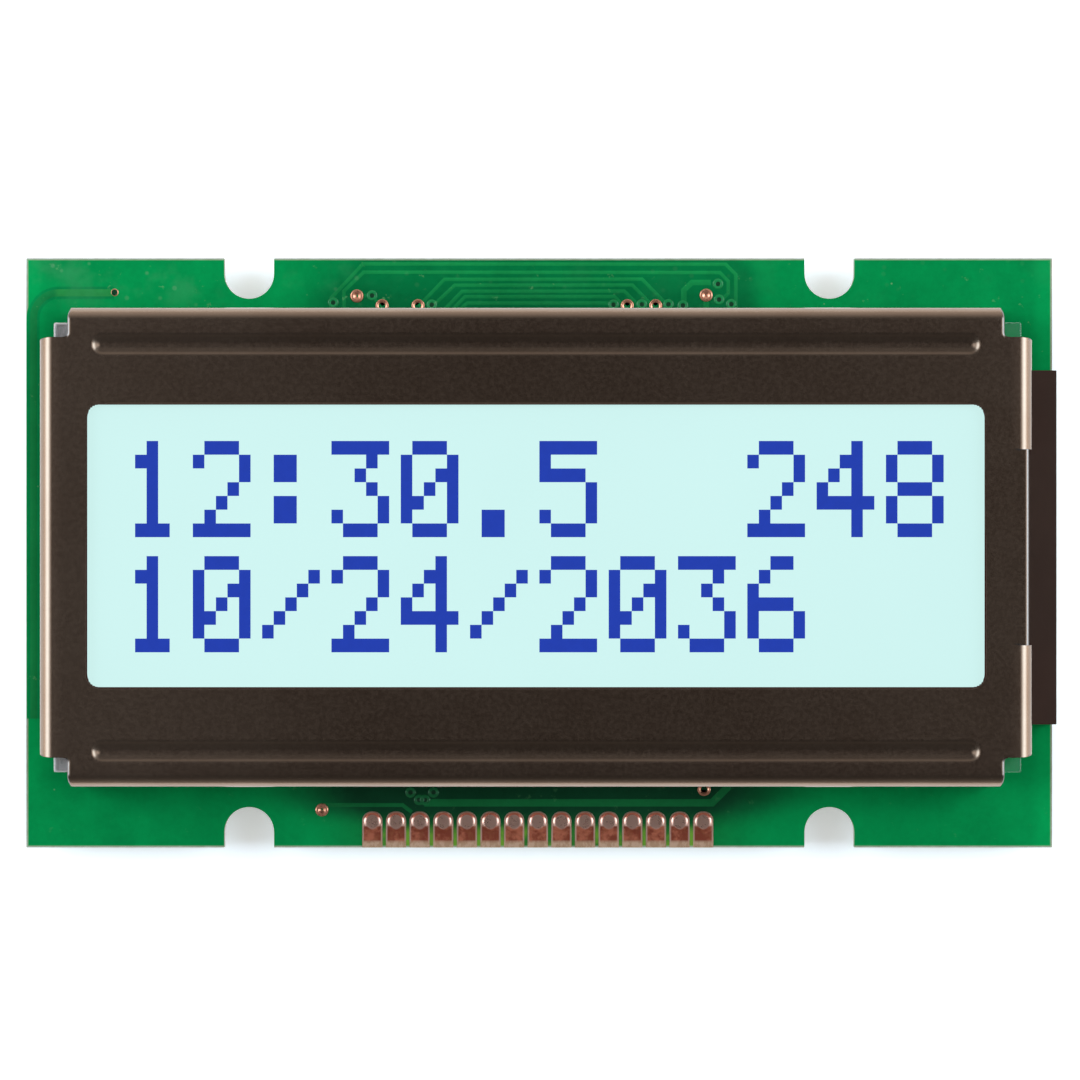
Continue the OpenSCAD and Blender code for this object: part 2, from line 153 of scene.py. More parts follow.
def attribute(tree, name):
    return Signal(addNode(tree, "Attribute", attribute_name=name).outputs["Fac"])


def facing(tree, axis):
    # how squarely the surface faces along an axis, up to 1
    return abs(Signal(addNode(tree, "NewGeometry").outputs["Normal"]).axes()[axis])


def feed(shader, **sockets):
    for key, value in sockets.items():
        wire(value, shader.inputs[key.replace("_", " ")])


def newFinish(name, colour=(0.5, 0.5, 0.5), roughness=0.5, **sockets):
    # a material, its node tree and its shader, with constants on the shader's own sockets
    material = bpy.data.materials.new(name)
    material.use_nodes = True
    tree = material.node_tree
    shader = tree.nodes["Principled BSDF"]
    feed(shader, Base_Color=colour, Roughness=roughness, **sockets)
    return material, tree, shader


def relief(shader, height, distance):
    # bump of the given depth in metres
    bump = addNode(shader.id_data, "Bump", {"Height": height, "Distance": distance, "Strength": 1.0})
    feed(shader, Normal=Signal(bump.outputs["Normal"]))


# camera, floor and light

studio = {
    "lens": 275.3,            # long lens, so that walls hide behind the face
    "sensor": 36.0,
    "cameraHeight": 450.0,    # above the board's back face
    "aim": (0.04, 0.70),
    "floorHalf": 3.0,         # metres
    "floorColour": (0.92, 0.92, 0.92),
    "floorLift": 0.42,        # glow that brings the lit floor up to white
    "floorShine": 0.80,       # how much brighter the floor is in reflections
    "floorGap": 0.01,         # the floor lies this far below the resin covers' flats
    "peak": 6.4,
    "sideTurn": 12.0,         # degrees by which the side lights stand towards the top
    "sideHalf": (29.0, 13.0),
    "sideTint": (0.87, 1.08, 1.27),      # the side lights are a little cooler at mid height
    "sideTinted": (25, 65),
    "zenithTint": (1.02, 0.92, 0.89),    # and the light from straight above is warmer
    "zenithFrom": 75,
    "acrossBlend": 0.35,      # how far the top and bottom lights reach into each other
}

# radiance against the height angle in degrees, for light from the sides, top and bottom
skyCurves = {
    "side": ((0, 1.9), (10, 2.1), (20, 2.8), (30, 4.6), (40, 6.2), (50, 6.0), (60, 3.9), (70, 1.5),
             (80, 0.30), (90, 0.050)),
    "top": ((0, 1.50), (11, 1.20), (22, 0.97), (33, 0.80), (44, 0.59), (54, 0.40), (64, 0.23), (73, 0.12),
            (83, 0.068), (90, 0.050)),
    "bottom": ((0, 0.82), (9, 0.66), (21, 0.37), (32, 0.24), (43, 0.16), (53, 0.115), (70, 0.082),
               (82, 0.064), (90, 0.050)),
}


def addWorld():
    world = bpy.data.worlds.new("studioWorld")
    world.use_nodes = True
    bpy.context.scene.world = world
    tree = world.node_tree
    x, y, z = Signal(addNode(tree, "TexCoord").outputs["Generated"]).axes()

    def tint(name, climb):
        low, high = studio["sideTinted"]
        if climb > studio["zenithFrom"]:
            return studio["zenithTint"]
        return studio["sideTint"] if name == "side" and low < climb < high else (1, 1, 1)

    def curve(name):
        # the ramp runs over the sine of the height angle
        ramp = addNode(tree, "ValToRGB", {"Fac": z})
        stops = ramp.color_ramp.elements
        heights = [math.sin(math.radians(climb)) for climb, level in skyCurves[name]]
        stops[0].position, stops[1].position = heights[0], heights[-1]
        for height in heights[1:-1]:
            stops.new(height)
        for stop, (climb, level) in zip(stops, skyCurves[name]):
            stop.color = (*(level / studio["peak"] * share for share in tint(name, climb)), 1)
        return Signal(ramp.outputs["Color"])

    level = (x * x + y * y).maths("SQRT").atLeast(0.001)
    northward = y / level
    turn = math.radians(studio["sideTurn"])
    sideways = abs(x) / level * math.cos(turn) + northward * math.sin(turn)
    wide, narrow = (math.cos(math.radians(v)) for v in studio["sideHalf"])
    reach = studio["acrossBlend"]
    upright = northward.between(-reach, reach).mix(curve("bottom"), curve("top"))
    light = sideways.between(wide, narrow).mix(upright, curve("side"))
    feed(tree.nodes["Background"], Color=light, Strength=studio["peak"])


def addFloor():
    size, z = studio["floorHalf"], (restZ - studio["floorGap"]) * mm
    mesh = bpy.data.meshes.new("studioFloor")
    mesh.from_pydata([(-size, -size, z), (size, -size, z), (size, size, z), (-size, size, z)], [], [(0, 1, 2, 3)])
    floor = bpy.data.objects.new("studioFloor", mesh)
    bpy.context.scene.collection.objects.link(floor)
    material, tree, shader = newFinish("palePaper", studio["floorColour"], 0.9, Specular_IOR_Level=0.0)
    # the glow shows to the camera and through the glass, and more of it in reflections
    rays = addNode(tree, "LightPath").outputs
    seen, glossy, through = (Signal(rays[f"Is {kind} Ray"]) for kind in ("Camera", "Glossy", "Transmission"))
    lift, shine = studio["floorLift"], studio["floorShine"]
    level = (seen * lift).atLeast(glossy * shine).atLeast(through * lift)
    glow = addNode(tree, "Emission", {"Strength": level})
    both = addNode(tree, "AddShader", {0: Signal(shader.outputs[0]), 1: Signal(glow.outputs[0])})
    wire(Signal(both.outputs[0]), tree.nodes["Material Output"].inputs["Surface"])
    mesh.materials.append(material)


camera = bpy.data.objects.new("camera", bpy.data.cameras.new("camera"))
bpy.context.scene.collection.objects.link(camera)
camera.location = (studio["aim"][0] * mm, studio["aim"][1] * mm, studio["cameraHeight"] * mm)
camera.data.lens = studio["lens"]
camera.data.sensor_width = studio["sensor"]
camera.data.clip_start = 0.01
bpy.context.scene.camera = camera
bpy.context.scene.view_settings.view_transform = "Standard"
addWorld()
addFloor()
print("studio ready")

# finishes

boardFinish = {
    "pour": (0.0008, 0.206, 0.048),
    "bare": (0.0008, 0.130, 0.033),
    "bareShaded": (0.0008, 0.098, 0.026),   # painted shade: darker towards the bezel
    # laminate without copper, darkened further by painted shade below the bezel
    "noCopperShaded": (0.0045, 0.040, 0.0150),
    "betweenPads": (0.0060, 0.105, 0.020),
    "track": (0.0060, 0.188, 0.044),
    # painted shade: tracks darker towards the bezel
    "trackShaded": (0.0045, 0.138, 0.034),
    # painted shade: tracks below the bezel
    "trackDeepShade": (0.0072, 0.108, 0.029),
    "backBare": (0.0009, 0.145, 0.037),
    "backTrack": (0.0014, 0.235, 0.055),
    "warm": (0.016, 0.192, 0.040),       # the wide lamp track's yellower copper
    "trough": (0.0010, 0.158, 0.040),
    # painted shade in a point's hole
    "hole": (0.0060, 0.034, 0.014),
    "lip": (0.0120, 0.185, 0.052),       # mask standing on a covered point's rim over copper, lighter partly as a painted highlight
    # painted shade: covered points' lips below the bezel
    "lipDeepShade": (0.0100, 0.098, 0.032),
    "sliver": (0.150, 0.290, 0.030),     # resin-starved laminate between the edge pads
    "edge": (0.40, 0.38, 0.29),
    "edgeDeep": (0.34, 0.32, 0.23),
    "haze": (0.042, 0.240, 0.088),
    "fleck": (0.110, 0.290, 0.105),
    "spot": (0.110, 0.260, 0.120),
    "dust": (0.26, 0.34, 0.18),
    # the pours' inner edges: X, then from this Y on a slant; softness
    "leftPour": (-12.4, 13.89, 0.93, 2.0),
    "rightPour": (11.8, 15.10, 0.95, 0.8),
    "edgeLine": 0.085,
    "leftStripPaintedLight": 0.34,                    # painted light: the narrow strips beside the bezel are a little lighter
    "rightStripPaintedLight": 0.22,
    "belowBezel": (-8.0, -11.0),         # Y from which the lower greens hold
    "back": (0.9, 0.7),                  # Z from which the back's greens hold
}


def pourMask(x, y):
    # copper pours left and right of the tracks, their inner edges slanting in towards the top
    x0, y0, lean0, soft0 = boardFinish["leftPour"]
    x1, y1, lean1, soft1 = boardFinish["rightPour"]
    left = x - (y - y0).atLeast(0.0) * lean0
    right = x + (y - y1).atLeast(0.0) * lean1
    return left.between(x0 + soft0, x0 - soft0).atLeast(right.between(x1 - soft1, x1 + soft1))


def trackGreen(tree, y, z, below, f):
    # mask over raised copper; marks tell the lamp's track from its trough, and the lips from the holes' painted shade
    warm, hole = attribute(tree, "warm"), attribute(tree, "hole")
    # painted shade: tracks darken towards the bezel above, and darker still below the bezel
    colour = below.mix(y.between(13.6, 15.4).mix(f["trackShaded"], f["track"]), f["trackDeepShade"])
    colour = warm.between(0.1, 1.0).mix(colour, f["warm"])
    colour = warm.between(-0.05, -0.40).mix(colour, f["pour"])
    colour = warm.between(-0.45, -1.0).mix(colour, f["trough"])
    colour = z.between(*f["back"]).mix(colour, f["backTrack"])
    # the lips are lighter, partly copper under the mask and partly a painted highlight; below the bezel painted shade
    # darkens them
    colour = hole.between(-0.2, -1.0).mix(colour, below.mix(f["lip"], f["lipDeepShade"]))
    return hole.between(0.2, 0.8).mix(colour, f["hole"])


def boardGreen(spot, x, y, z, below, f):
    # painted shade: the bare laminate darkens towards the bezel above it
    bare = y.between(13.6, 15.6).mix(f["bareShaded"], f["bare"])
    upper = pourMask(x, y).mix(bare, f["pour"])
    # below the bezel the green fades from the ends to a dark middle of laminate without copper, deepened by painted
    # shade and widening towards the bezel; the pours there are painted a little lighter towards the bezel
    lower = product(y.between(-13.0, -16.0, 1.08, 0.97).grey(), f["pour"])
    shadedMiddleGreen = y.between(-13.9, -15.2).mix(f["noCopperShaded"], f["betweenPads"])
    away = abs(x) - y.between(-15.2, -13.0, 0.0, 3.6)
    colour = below.mix(upper, away.between(6.2, 13.0).mix(shadedMiddleGreen, lower))
    alongPads = y.between(-14.6, -15.3) * abs(x).between(9.3, 9.1)
    starved = alongPads * spot.noise(0.55, 3).between(0.38, 0.60, 0.15, 0.9)
    return z.between(*f["back"]).mix(starved.mix(colour, f["sliver"]), f["backBare"])


def greenMask(name, track=False, gloss=0.03, rough=0.32):
    # glossy mask over bare laminate and copper, with haze, faint pale flecks and dust
    material, tree, shader = newFinish(name, Specular_IOR_Level=gloss)
    f = boardFinish
    spot = millimetres(tree)
    x, y, z = spot.axes()
    coarse, fine, weave = spot.noise(0.20, 2), spot.noise(3.2, 4, 0.6), spot.noise(0.9, 3)
    below = y.between(*f["belowBezel"])
    colour = trackGreen(tree, y, z, below, f) if track else boardGreen(spot, x, y, z, below, f)
    # painted light on the narrow strips left and right of the bezel
    leftStripPaintedLight = x.between(-26.4, -27.6, 0.0, f["leftStripPaintedLight"]) * y.between(-13.6, -11.4)
    tone = coarse.between(0.3, 0.7, 0.90, 1.06) + fine.between(0.3, 0.7, -0.04, 0.04) \
        + weave.between(0.3, 0.7, -0.05, 0.05) + leftStripPaintedLight + x.between(26.5, 27.4, 0.0, f["rightStripPaintedLight"])
    colour = product(colour, tone.grey())
    # pale haze and spots near the board's upper left, pale flecks and dust everywhere
    cloud = spot.noise(0.34, 4, 0.6).between(0.50, 0.70)
    corner = y.between(12.0, 15.5) * x.between(-4.0, -20.0, 0.15, 1.0)
    fleck = spot.noise(1.7, 5, 0.62).between(0.645, 0.72)
    colour = (cloud * corner * 0.40).mix(colour, f["haze"])
    colour = (fleck * (0.40 - below * 0.28)).mix(colour, f["fleck"])
    colour = (spot.specks(1.5, 0.26, 0.42) * corner * 0.42).mix(colour, f["spot"])
    colour = (spot.specks(1.1, 0.080, 0.07) * 0.30).mix(colour, f["dust"])
    if not track:
        # bare laminate on the cut edges and along the outline
        toOutline = (abs(x) - (boardHigh[0] - f["edgeLine"])).atLeast(abs(y) - (boardHigh[1] - f["edgeLine"]))
        edge = toOutline.between(-0.06, 0.05).atLeast(facing(tree, 2).between(0.6, 0.4))
        layers = millimetres(tree, (1.1, 1.1, 9.0)).noise(1.6, 3).between(0.35, 0.65)
        colour = edge.mix(colour, layers.mix(f["edge"], f["edgeDeep"]))
    feed(shader, Base_Color=colour, Roughness=coarse.between(0.3, 0.7, rough, rough + 0.04))
    relief(shader, weave, 0.000002)
    return material


bezelFinish = {
    "paint": (0.236, 0.166, 0.121),
    "paintDeep": (0.218, 0.150, 0.108),
    "grain": (0.30, 0.22, 0.17),
    "steel": (0.150, 0.132, 0.122),
    # dark coat with painted shade, at the window's edge and the notches' ends
    "windowEdge": (0.026, 0.0058, 0.0042),
    "dust": (0.42, 0.40, 0.36),
    "paintedEndLightLeft": 0.036,       # share of plain scattering: painted light that lightens the face towards its ends
    "paintedEndLightRight": 0.014,
}


def darkBezel(name, f):
    # a dark burnished coat that shines like metal, bare steel where it was cut
    material, tree, shader = newFinish(name, Specular_IOR_Level=0.12)
    spot = millimetres(tree)
    x = spot.axes()[0]
    grain = spot.noise(5.0, 3, 0.6)
    # painted shade, with the dark coat, along the window's edge and the notches' ends
    inside = attribute(tree, "windowEdge").between(0.25, 0.75)
    dust = spot.specks(0.30, 0.020, 0.30).atLeast(spot.specks(0.75, 0.035, 0.05))
    colour = spot.noise(0.16, 3).between(0.35, 0.65).mix(f["paint"], f["paintDeep"])
    colour = grain.between(0.35, 0.75, 0.0, 0.08).mix(colour, f["grain"])
    colour = attribute(tree, "bare").between(0.35, 0.85).mix(colour, f["steel"])
    colour = (dust * 0.8).mix(inside.mix(colour, f["windowEdge"]), f["dust"])
    # painted light: less metal and more plain scattering towards the face's ends
    paintedEndLight = x.between(-6.0, -26.0, 0.0, f["paintedEndLightLeft"]) + x.between(8.0, 26.0, 0.0, f["paintedEndLightRight"])
    dull = (dust * 0.9).atLeast(inside).atLeast(paintedEndLight)
    feed(shader, Base_Color=colour, Metallic=1.0 - dull, Roughness=grain.between(0.3, 0.7, 0.19, 0.23))
    relief(shader, spot.noise(0.8, 2), 0.000003)
    return material


displayFinish = {
    "ground": (0.620, 0.895, 0.860),
    "ink": (0.0100, 0.040, 0.395),
    "glow": 0.93,         # share of the brightness that comes from the display's own light
    "rough": 0.42,
    "specular": 0.2,
}


def displayFace(name, tone, scale, shade):
    # a lit surface whose tone drifts a little
    f = displayFinish
    material, tree, shader = newFinish(name, tone, f["rough"], Specular_IOR_Level=f["specular"],
                                       Emission_Strength=f["glow"])
    spot = millimetres(tree)
    colour = spot.noise(scale, 2).between(0.3, 0.7).mix(tone, tuple(c * shade for c in tone))
    feed(shader, Emission_Color=colour, Base_Color=product(colour, (1.0 - f["glow"],) * 3))
    return material, spot, shader


def displayGround(name):
    material, spot, shader = displayFace(name, displayFinish["ground"], 0.07, 0.985)
    relief(shader, spot.noise(16.0, 2), 0.000001)
    return material


def clearGlass(name):
    # a clear sheet that lets light straight through, its shine kept and its cut edges a little fuller
    material, tree, shader = newFinish(name, (0.70, 0.80, 0.76), Specular_IOR_Level=0.6)
    smear = millimetres(tree).noise(0.5, 3)
    body = facing(tree, 2).between(0.95, 0.35, 0.03, 0.25)
    feed(shader, Alpha=body + smear.between(0.5, 0.8, 0.0, 0.05), Roughness=smear.between(0.4, 0.8, 0.03, 0.12))
    return material


def plastic(name, colour, shade, roughness=0.5, specular=0.4, scale=2.0, depth=0.000008, **sockets):
    # moulded plastic: a slow drift of tone over a fine pebbled skin
    material, tree, shader = newFinish(name, Specular_IOR_Level=specular, **sockets)
    spot = millimetres(tree)
    skin = spot.noise(scale * 4, 3, 0.6)
    feed(shader, Base_Color=spot.noise(0.35, 3).between(0.3, 0.7).mix(colour, shade),
         Roughness=skin.between(0.3, 0.7, roughness - 0.06, roughness + 0.08))
    relief(shader, skin, depth)
    return material


def metal(name, colour, shade, roughness=0.3, scale=3.0, depth=0.000006, pure=1.0):
    material, tree, shader = newFinish(name, Metallic=pure)
    cloud = millimetres(tree).noise(scale, 4, 0.6)
    feed(shader, Base_Color=cloud.between(0.3, 0.7).mix(colour, shade),
         Roughness=cloud.between(0.3, 0.7, roughness - 0.08, roughness + 0.12))
    relief(shader, cloud, depth)
    return material


padFinish = {
    "tin": (0.59, 0.340, 0.255),
    "tinWorn": (0.48, 0.30, 0.25),
    "tinRed": (0.40, 0.105, 0.058),
    "rim": (0.37, 0.215, 0.150),
    "rust": (0.165, 0.031, 0.014),
    "rustLight": (0.33, 0.090, 0.046),
    "rustDrawn": (0.22, 0.062, 0.025),
    "end": (0.33, 0.185, 0.105),
    "endPale": (0.43, 0.26, 0.165),
}


def padCopper(name, f):
    # tinned cushion, worn copper below it and a pale strip where the board was cut
    material, tree, shader = newFinish(name, Specular_IOR_Level=0.12)
    spot = millimetres(tree)
    worn, blotch = spot.noise(3.2, 4, 0.65), spot.noise(1.5, 4, 0.6)
    drawn = millimetres(tree, (1, 0.6, 1)).noise(4.0, 3, 0.6)
    hollow, end, rim = (attribute(tree, mark) for mark in ("hollow", "cutEnd", "rim"))
    crown = attribute(tree, "crown").between(0.1, 0.7)
    rust = blotch.between(0.42, 0.64).mix(f["rust"], f["rustLight"])
    rust = drawn.between(0.45, 0.70, 0.0, 0.5).mix(rust, f["rustDrawn"])
    top = worn.between(0.3, 0.7, 0.0, 0.35).mix(f["tin"], f["tinWorn"])
    top = rim.mix(crown.mix(top, f["tinRed"]), f["rim"])
    endTone = drawn.between(0.4, 0.6).mix(f["end"], f["endPale"])
    dull = hollow.atLeast(end).atLeast(rim * 0.92)
    soft = (crown * 0.65).atLeast(0.10)
    feed(shader, Base_Color=end.mix(hollow.mix(top, rust), endTone), Metallic=1.0 - (dull * 0.97).atLeast(soft),
         Roughness=worn.between(0.3, 0.7, 0.26, 0.32) + dull * 0.30)
    return material


def zebraRubber(name, pitch=0.18):
    # fine conducting layers across the strip
    material, tree, shader = newFinish(name, roughness=0.6, Specular_IOR_Level=0.3)
    spot = millimetres(tree)
    layer = (spot.axes()[0] * (2 * math.pi / pitch)).maths("SINE").between(-0.3, 0.3)
    core = layer.mix((0.035, 0.035, 0.04), (0.52, 0.58, 0.68))
    skin = spot.noise(2.0, 3).between(0.3, 0.7).mix((0.55, 0.62, 0.72), (0.46, 0.54, 0.66))
    feed(shader, Base_Color=facing(tree, 1).between(0.4, 0.6).mix(core, skin))
    relief(shader, layer, 0.000004)
    return material


def chipFinish(name, body, node, half=0.60):
    # a small chip: dark or tan body, tinned ends beyond a set distance from its middle
    low, high = boxMm(node)
    material, tree, shader = newFinish(name, Specular_IOR_Level=0.5)
    spot = millimetres(tree)
    away = abs(spot.axes()[1] - (low[1] + high[1]) / 2)
    end = away.between(half - 0.02, half + 0.02)
    speck = spot.noise(7.0, 3, 0.6)
    skin = speck.between(0.35, 0.7).mix(body, tuple(c * 1.6 + 0.004 for c in body))
    feed(shader, Base_Color=end.mix(skin, (0.72, 0.71, 0.68)), Metallic=end,
         Roughness=speck.between(0.3, 0.7, 0.26, 0.45))
    relief(shader, speck, 0.000006)
    return material


finishes = {
    "mask": greenMask("greenSolderMask"),
    "track": greenMask("greenTracks", track=True),
    "point": greenMask("greenPoints", track=True, gloss=0.22, rough=0.16),
    "bezel": darkBezel("burnishedBezel", bezelFinish),
    "ground": displayGround("paleDisplayGround"),
    "ink": displayFace("blueDots", displayFinish["ink"], 2.2, 1.05)[0],
    "glass": clearGlass("clearCellGlass"),
    "pads": padCopper("tinnedEdgePads", padFinish),
    "ring": metal("tinnedCopper", (0.58, 0.260, 0.160), (0.48, 0.185, 0.105), 0.26, 4.0, 0.000001, pure=0.76),
    "gold": metal("goldFingers", (0.86, 0.62, 0.26), (0.74, 0.50, 0.20), 0.25),
    "solder": metal("brightSolder", (0.72, 0.72, 0.70), (0.55, 0.55, 0.54), 0.22, 2.4, 0.00001),
    "wire": metal("tinnedWire", (0.74, 0.73, 0.70), (0.60, 0.59, 0.57), 0.25, 5.0),
    "silicon": metal("siliconDie", (0.22, 0.22, 0.26), (0.15, 0.15, 0.19), 0.2),
    "tray": plastic("paleTray", (0.60, 0.505, 0.475), (0.52, 0.44, 0.41), 0.45),
    "film": plastic("whiteFilm", (0.86, 0.86, 0.84), (0.80, 0.80, 0.79), 0.35, 0.4, 4.0, 0.000003),
    "guide": plastic("clearAcrylic", (0.90, 0.95, 0.96), (0.84, 0.91, 0.93), 0.12, 0.5, 1.0, 0.000002,
                     Transmission_Weight=0.7),
    "lamp": plastic("darkLampCover", (0.043, 0.0205, 0.0135), (0.038, 0.0180, 0.0118), 0.42, 0.17, 3.0, 0.000003),
    "strip": plastic("stripBoard", (0.55, 0.46, 0.24), (0.44, 0.35, 0.17), 0.5),
    "led": plastic("lampBody", (0.86, 0.82, 0.66), (0.80, 0.75, 0.55), 0.3),
    "resin": plastic("blackResin", (0.010, 0.010, 0.011), (0.016, 0.016, 0.017), 0.20, 0.55, 0.6, 0.00003),
    "seal": plastic("sealResin", (0.50, 0.50, 0.47), (0.42, 0.42, 0.40), 0.4),
    "plug": plastic("amberResin", (0.60, 0.44, 0.20), (0.50, 0.35, 0.14), 0.15, 0.5),
    "rubber": zebraRubber("layeredRubber"),
    "resistor": chipFinish("resistorSkin", (0.012, 0.012, 0.014), "resistor_1"),
    "capacitor": chipFinish("capacitorSkin", (0.42, 0.27, 0.14), "capacitor_1"),
}
print("finishes ready:", len(finishes))

# surfaces from arrays


def gridFaces(rows, columns, wrap=False):
    # quads between neighbouring points of a grid, the columns joined round if asked
    i = np.arange(rows - 1)[:, None]
    j = np.arange(columns if wrap else columns - 1)[None, :]
    k = (j + 1) % columns
    return np.stack([i * columns + j, (i + 1) * columns + j, (i + 1) * columns + k, i * columns + k],
                    -1).reshape(-1, 4)


def mark(mesh, **marks):
    # one number per point for each mark
    for key, values in marks.items():
        layer = mesh.attributes.new(key, "FLOAT", "POINT")
        layer.data.foreach_set("value", np.asarray(values, np.float32).ravel())


def place(name, mesh, finish, slot, replaces):
    # a finished mesh as a piece that rides on the part
    mesh.materials.clear()
    mesh.materials.append(finishes[finish])
    piece = bpy.data.objects.new(name, mesh)
    bpy.context.scene.collection.objects.link(piece)
    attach(piece, "root")
    if replaces:
        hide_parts(*replaces)
    return piece


def addPiece(name, surface, finish, slot, replaces=(), smooth=35.0, merge=0.0, **marks):
    # one mesh object from points in millimetres and faces
    points, faces = surface
    mesh = bpy.data.meshes.new(name)
    mesh.from_pydata((np.asarray(points, float).reshape(-1, 3) * mm).tolist(), [],
                     [list(map(int, f)) for f in faces])
    mark(mesh, **marks)
    if merge:
        work = bmesh.new()
        work.from_mesh(mesh)
        bmesh.ops.remove_doubles(work, verts=work.verts, dist=merge * mm)
        bmesh.ops.dissolve_degenerate(work, edges=work.edges, dist=merge * mm * 0.1)
        work.to_mesh(mesh)
        work.free()
    mesh.validate()
    mesh.shade_smooth()
    if smooth < 180:
        mesh.set_sharp_from_angle(angle=math.radians(smooth))
    return place(name, mesh, finish, slot, replaces)


turned = {"smooth": 180, "merge": 0.0005}     # for surfaces turned round an axis


def roundEdges(piece, width, segments=2, angle=None):
    bevel = piece.modifiers.new("arris", "BEVEL")
    bevel.width = width * mm
    bevel.segments = segments
    bevel.harden_normals = True
    if angle:
        bevel.limit_method = "ANGLE"
        bevel.angle_limit = math.radians(angle)


def smoothStep(t):
    t = np.clip(t, 0.0, 1.0)
    return t * t * (3 - 2 * t)


def joinParts(parts):
    # several (points, faces) pairs as one
    points, faces, start = [], [], 0
    for p, f in parts:
        p = np.asarray(p, float).reshape(-1, 3)
        faces.extend([[int(v) + start for v in face] for face in f])
        points.append(p)
        start += len(p)
    return np.concatenate(points), faces


def revolve(profile, centre, segments=48):
    # a closed profile of radius and height carried round a vertical axis
    profile = np.asarray(profile, float)
    turn = np.linspace(0, 2 * np.pi, segments, endpoint=False)
    points = np.stack([centre[0] + profile[:, :1] * np.cos(turn), centre[1] + profile[:, :1] * np.sin(turn),
                       centre[2] + profile[:, 1:] * np.ones_like(turn)], -1)
    return points.reshape(-1, 3), gridFaces(len(profile), segments, wrap=True)


def ribbon(path, width, height, z, side=1):
    # a low trapezoid profile carried along a plan path with mitred corners, closed at its ends
    path = np.asarray(path, float)
    step = np.diff(path, axis=0)
    step /= np.linalg.norm(step, axis=1)[:, None]
    into = np.vstack([step[:1], step])
    out = np.vstack([step, step[-1:]])
    along = into + out
    along /= np.linalg.norm(along, axis=1)[:, None]
    across = np.stack([-along[:, 1], along[:, 0]], 1)
    across /= np.maximum((across * np.stack([-into[:, 1], into[:, 0]], 1)).sum(1), 0.5)[:, None]
    offset = np.array([-0.5, -0.38, 0.38, 0.5]) * width
    lift = np.array([0.0, 1.0, 1.0, 0.0]) * height * side
    points = np.empty((len(path), 4, 3))
    points[:, :, :2] = path[:, None, :] + across[:, None, :] * offset[None, :, None]
    points[:, :, 2] = z + lift[None, :]
    faces = gridFaces(len(path), 4, wrap=True).tolist()
    last = (len(path) - 1) * 4
    faces += [[0, 1, 2, 3], [last + 3, last + 2, last + 1, last]]
    if side < 0:
        faces = [f[::-1] for f in faces]
    return points.reshape(-1, 3), faces


def arcTo(centre, radius, start, end, count=7):
    turn = np.radians(np.linspace(start, end, count))
    return [(centre[0] + radius * math.cos(t), centre[1] + radius * math.sin(t)) for t in turn]

# bezel: one sheet, pressed, punched and folded

middle = (-0.18, 0.31)       # the bezel's centre

bezelShape = {
    "width": 53.2, "height": 25.70, "top": boxMm("bezel")[1][2] - 0.001, "sheet": 0.35,
    "bend": 0.68, "cut": (1.50, 1.58), "taper": 0.2, "foot": boardTop,
    "windowX": 24.03, "windowY": 7.565, "windowShift": 0.075, "windowR": 0.70, "cornerR": 0.25,
    "grooveY": (10.94, 10.87), "grooveEnd": 23.22,     # lower and upper groove
    "grooveSlopes": ((0.0, 0.0), (0.07, 0.03), (0.14, 0.12), (0.22, 0.19), (0.36, 0.20), (0.48, 0.37),
                     (0.56, 0.18), (0.66, 0.0)),
    "gap": 5.25, "lip": 26.41,
    "tabX": 22.6, "tabHalf": 1.0, "tabTop": -0.10, "twistHeight": 0.60, "twist": 35.0,
    "tabTip": -1.2,
    "rollWidth": 0.15, "rollDrop": 0.085,
    "lipWidth": 0.19, "lipDrop": 0.10,
    "windowRoll": 0.04, "windowDrop": 0.007,
    "burrWidth": 0.16, "burrDrop": 0.100,   # the window's upper edge, bent in a little
    "windowDark": (0.10, 0.06),             # width of the dark band below and above the window: dark coat at the cut edge and painted shade
}


def lineSet(required, filler, gap):
    # all required grid lines and those fillers that keep clear of them, both signs
    required = np.unique(np.round(np.concatenate([required, -np.array(required)]), 6))
    filler = np.unique(np.round(np.concatenate([filler, -np.array(filler)]), 6))
    clear = np.abs(filler[:, None] - required[None, :]).min(1) > gap
    return np.sort(np.concatenate([required, filler[clear]]))


def foldAlong(u, half, radius):
    # flat up to the bend, then round it by the arc length, then straight down
    bendAt = half - radius
    over = np.maximum(np.abs(u) - bendAt, 0.0)
    angle = np.minimum(over / radius, np.pi / 2)
    below = np.maximum(over - radius * np.pi / 2, 0.0)
    across = np.minimum(np.abs(u), bendAt) + radius * np.sin(angle)
    return np.sign(u) * across, radius * (1 - np.cos(angle)) + below, np.sign(u) * np.sin(angle), angle


def grooveDepth(a, b, s):
    # depth as the sum of the section's slopes from the shoulder in, over the capsule's distance field
    height = np.where(b > 0, s["grooveY"][1], s["grooveY"][0])
    away = np.hypot(np.maximum(np.abs(a) - s["grooveEnd"], 0.0), np.abs(b) - height)
    reach, slope = np.array(s["grooveSlopes"]).T
    fine = np.linspace(0, reach[-1], 200)
    steep = np.interp(fine, reach, slope)
    depth = (steep[::-1].cumsum()[::-1] - steep / 2 - steep[-1] / 2) * (fine[1] - fine[0])
    return np.interp(away, fine, depth, right=0.0)


def rollOver(distance, width, drop):
    # a quarter ellipse down to the punched edge
    t = np.clip(1 - distance / width, 0.0, 1.0)
    return drop * (1 - np.sqrt(1 - t ** 2))


def windowDistance(p, q, s):
    # how far outside the window's outline, less than nought within it
    x, y = p - s["windowX"] + s["windowR"], q - s["windowY"] + s["windowR"]
    return np.hypot(np.maximum(x, 0), np.maximum(y, 0)) + np.minimum(np.maximum(x, y), 0) - s["windowR"]


def notchDistance(p, q, s):
    # how far inside the sheet from a notch's two edges and their fillet
    x, y = (s[key] / 2 - cut + s["cornerR"] for key, cut in zip(("width", "height"), s["cut"]))
    return np.hypot(np.maximum(x - p, 0), np.maximum(y - q, 0)) - s["cornerR"]


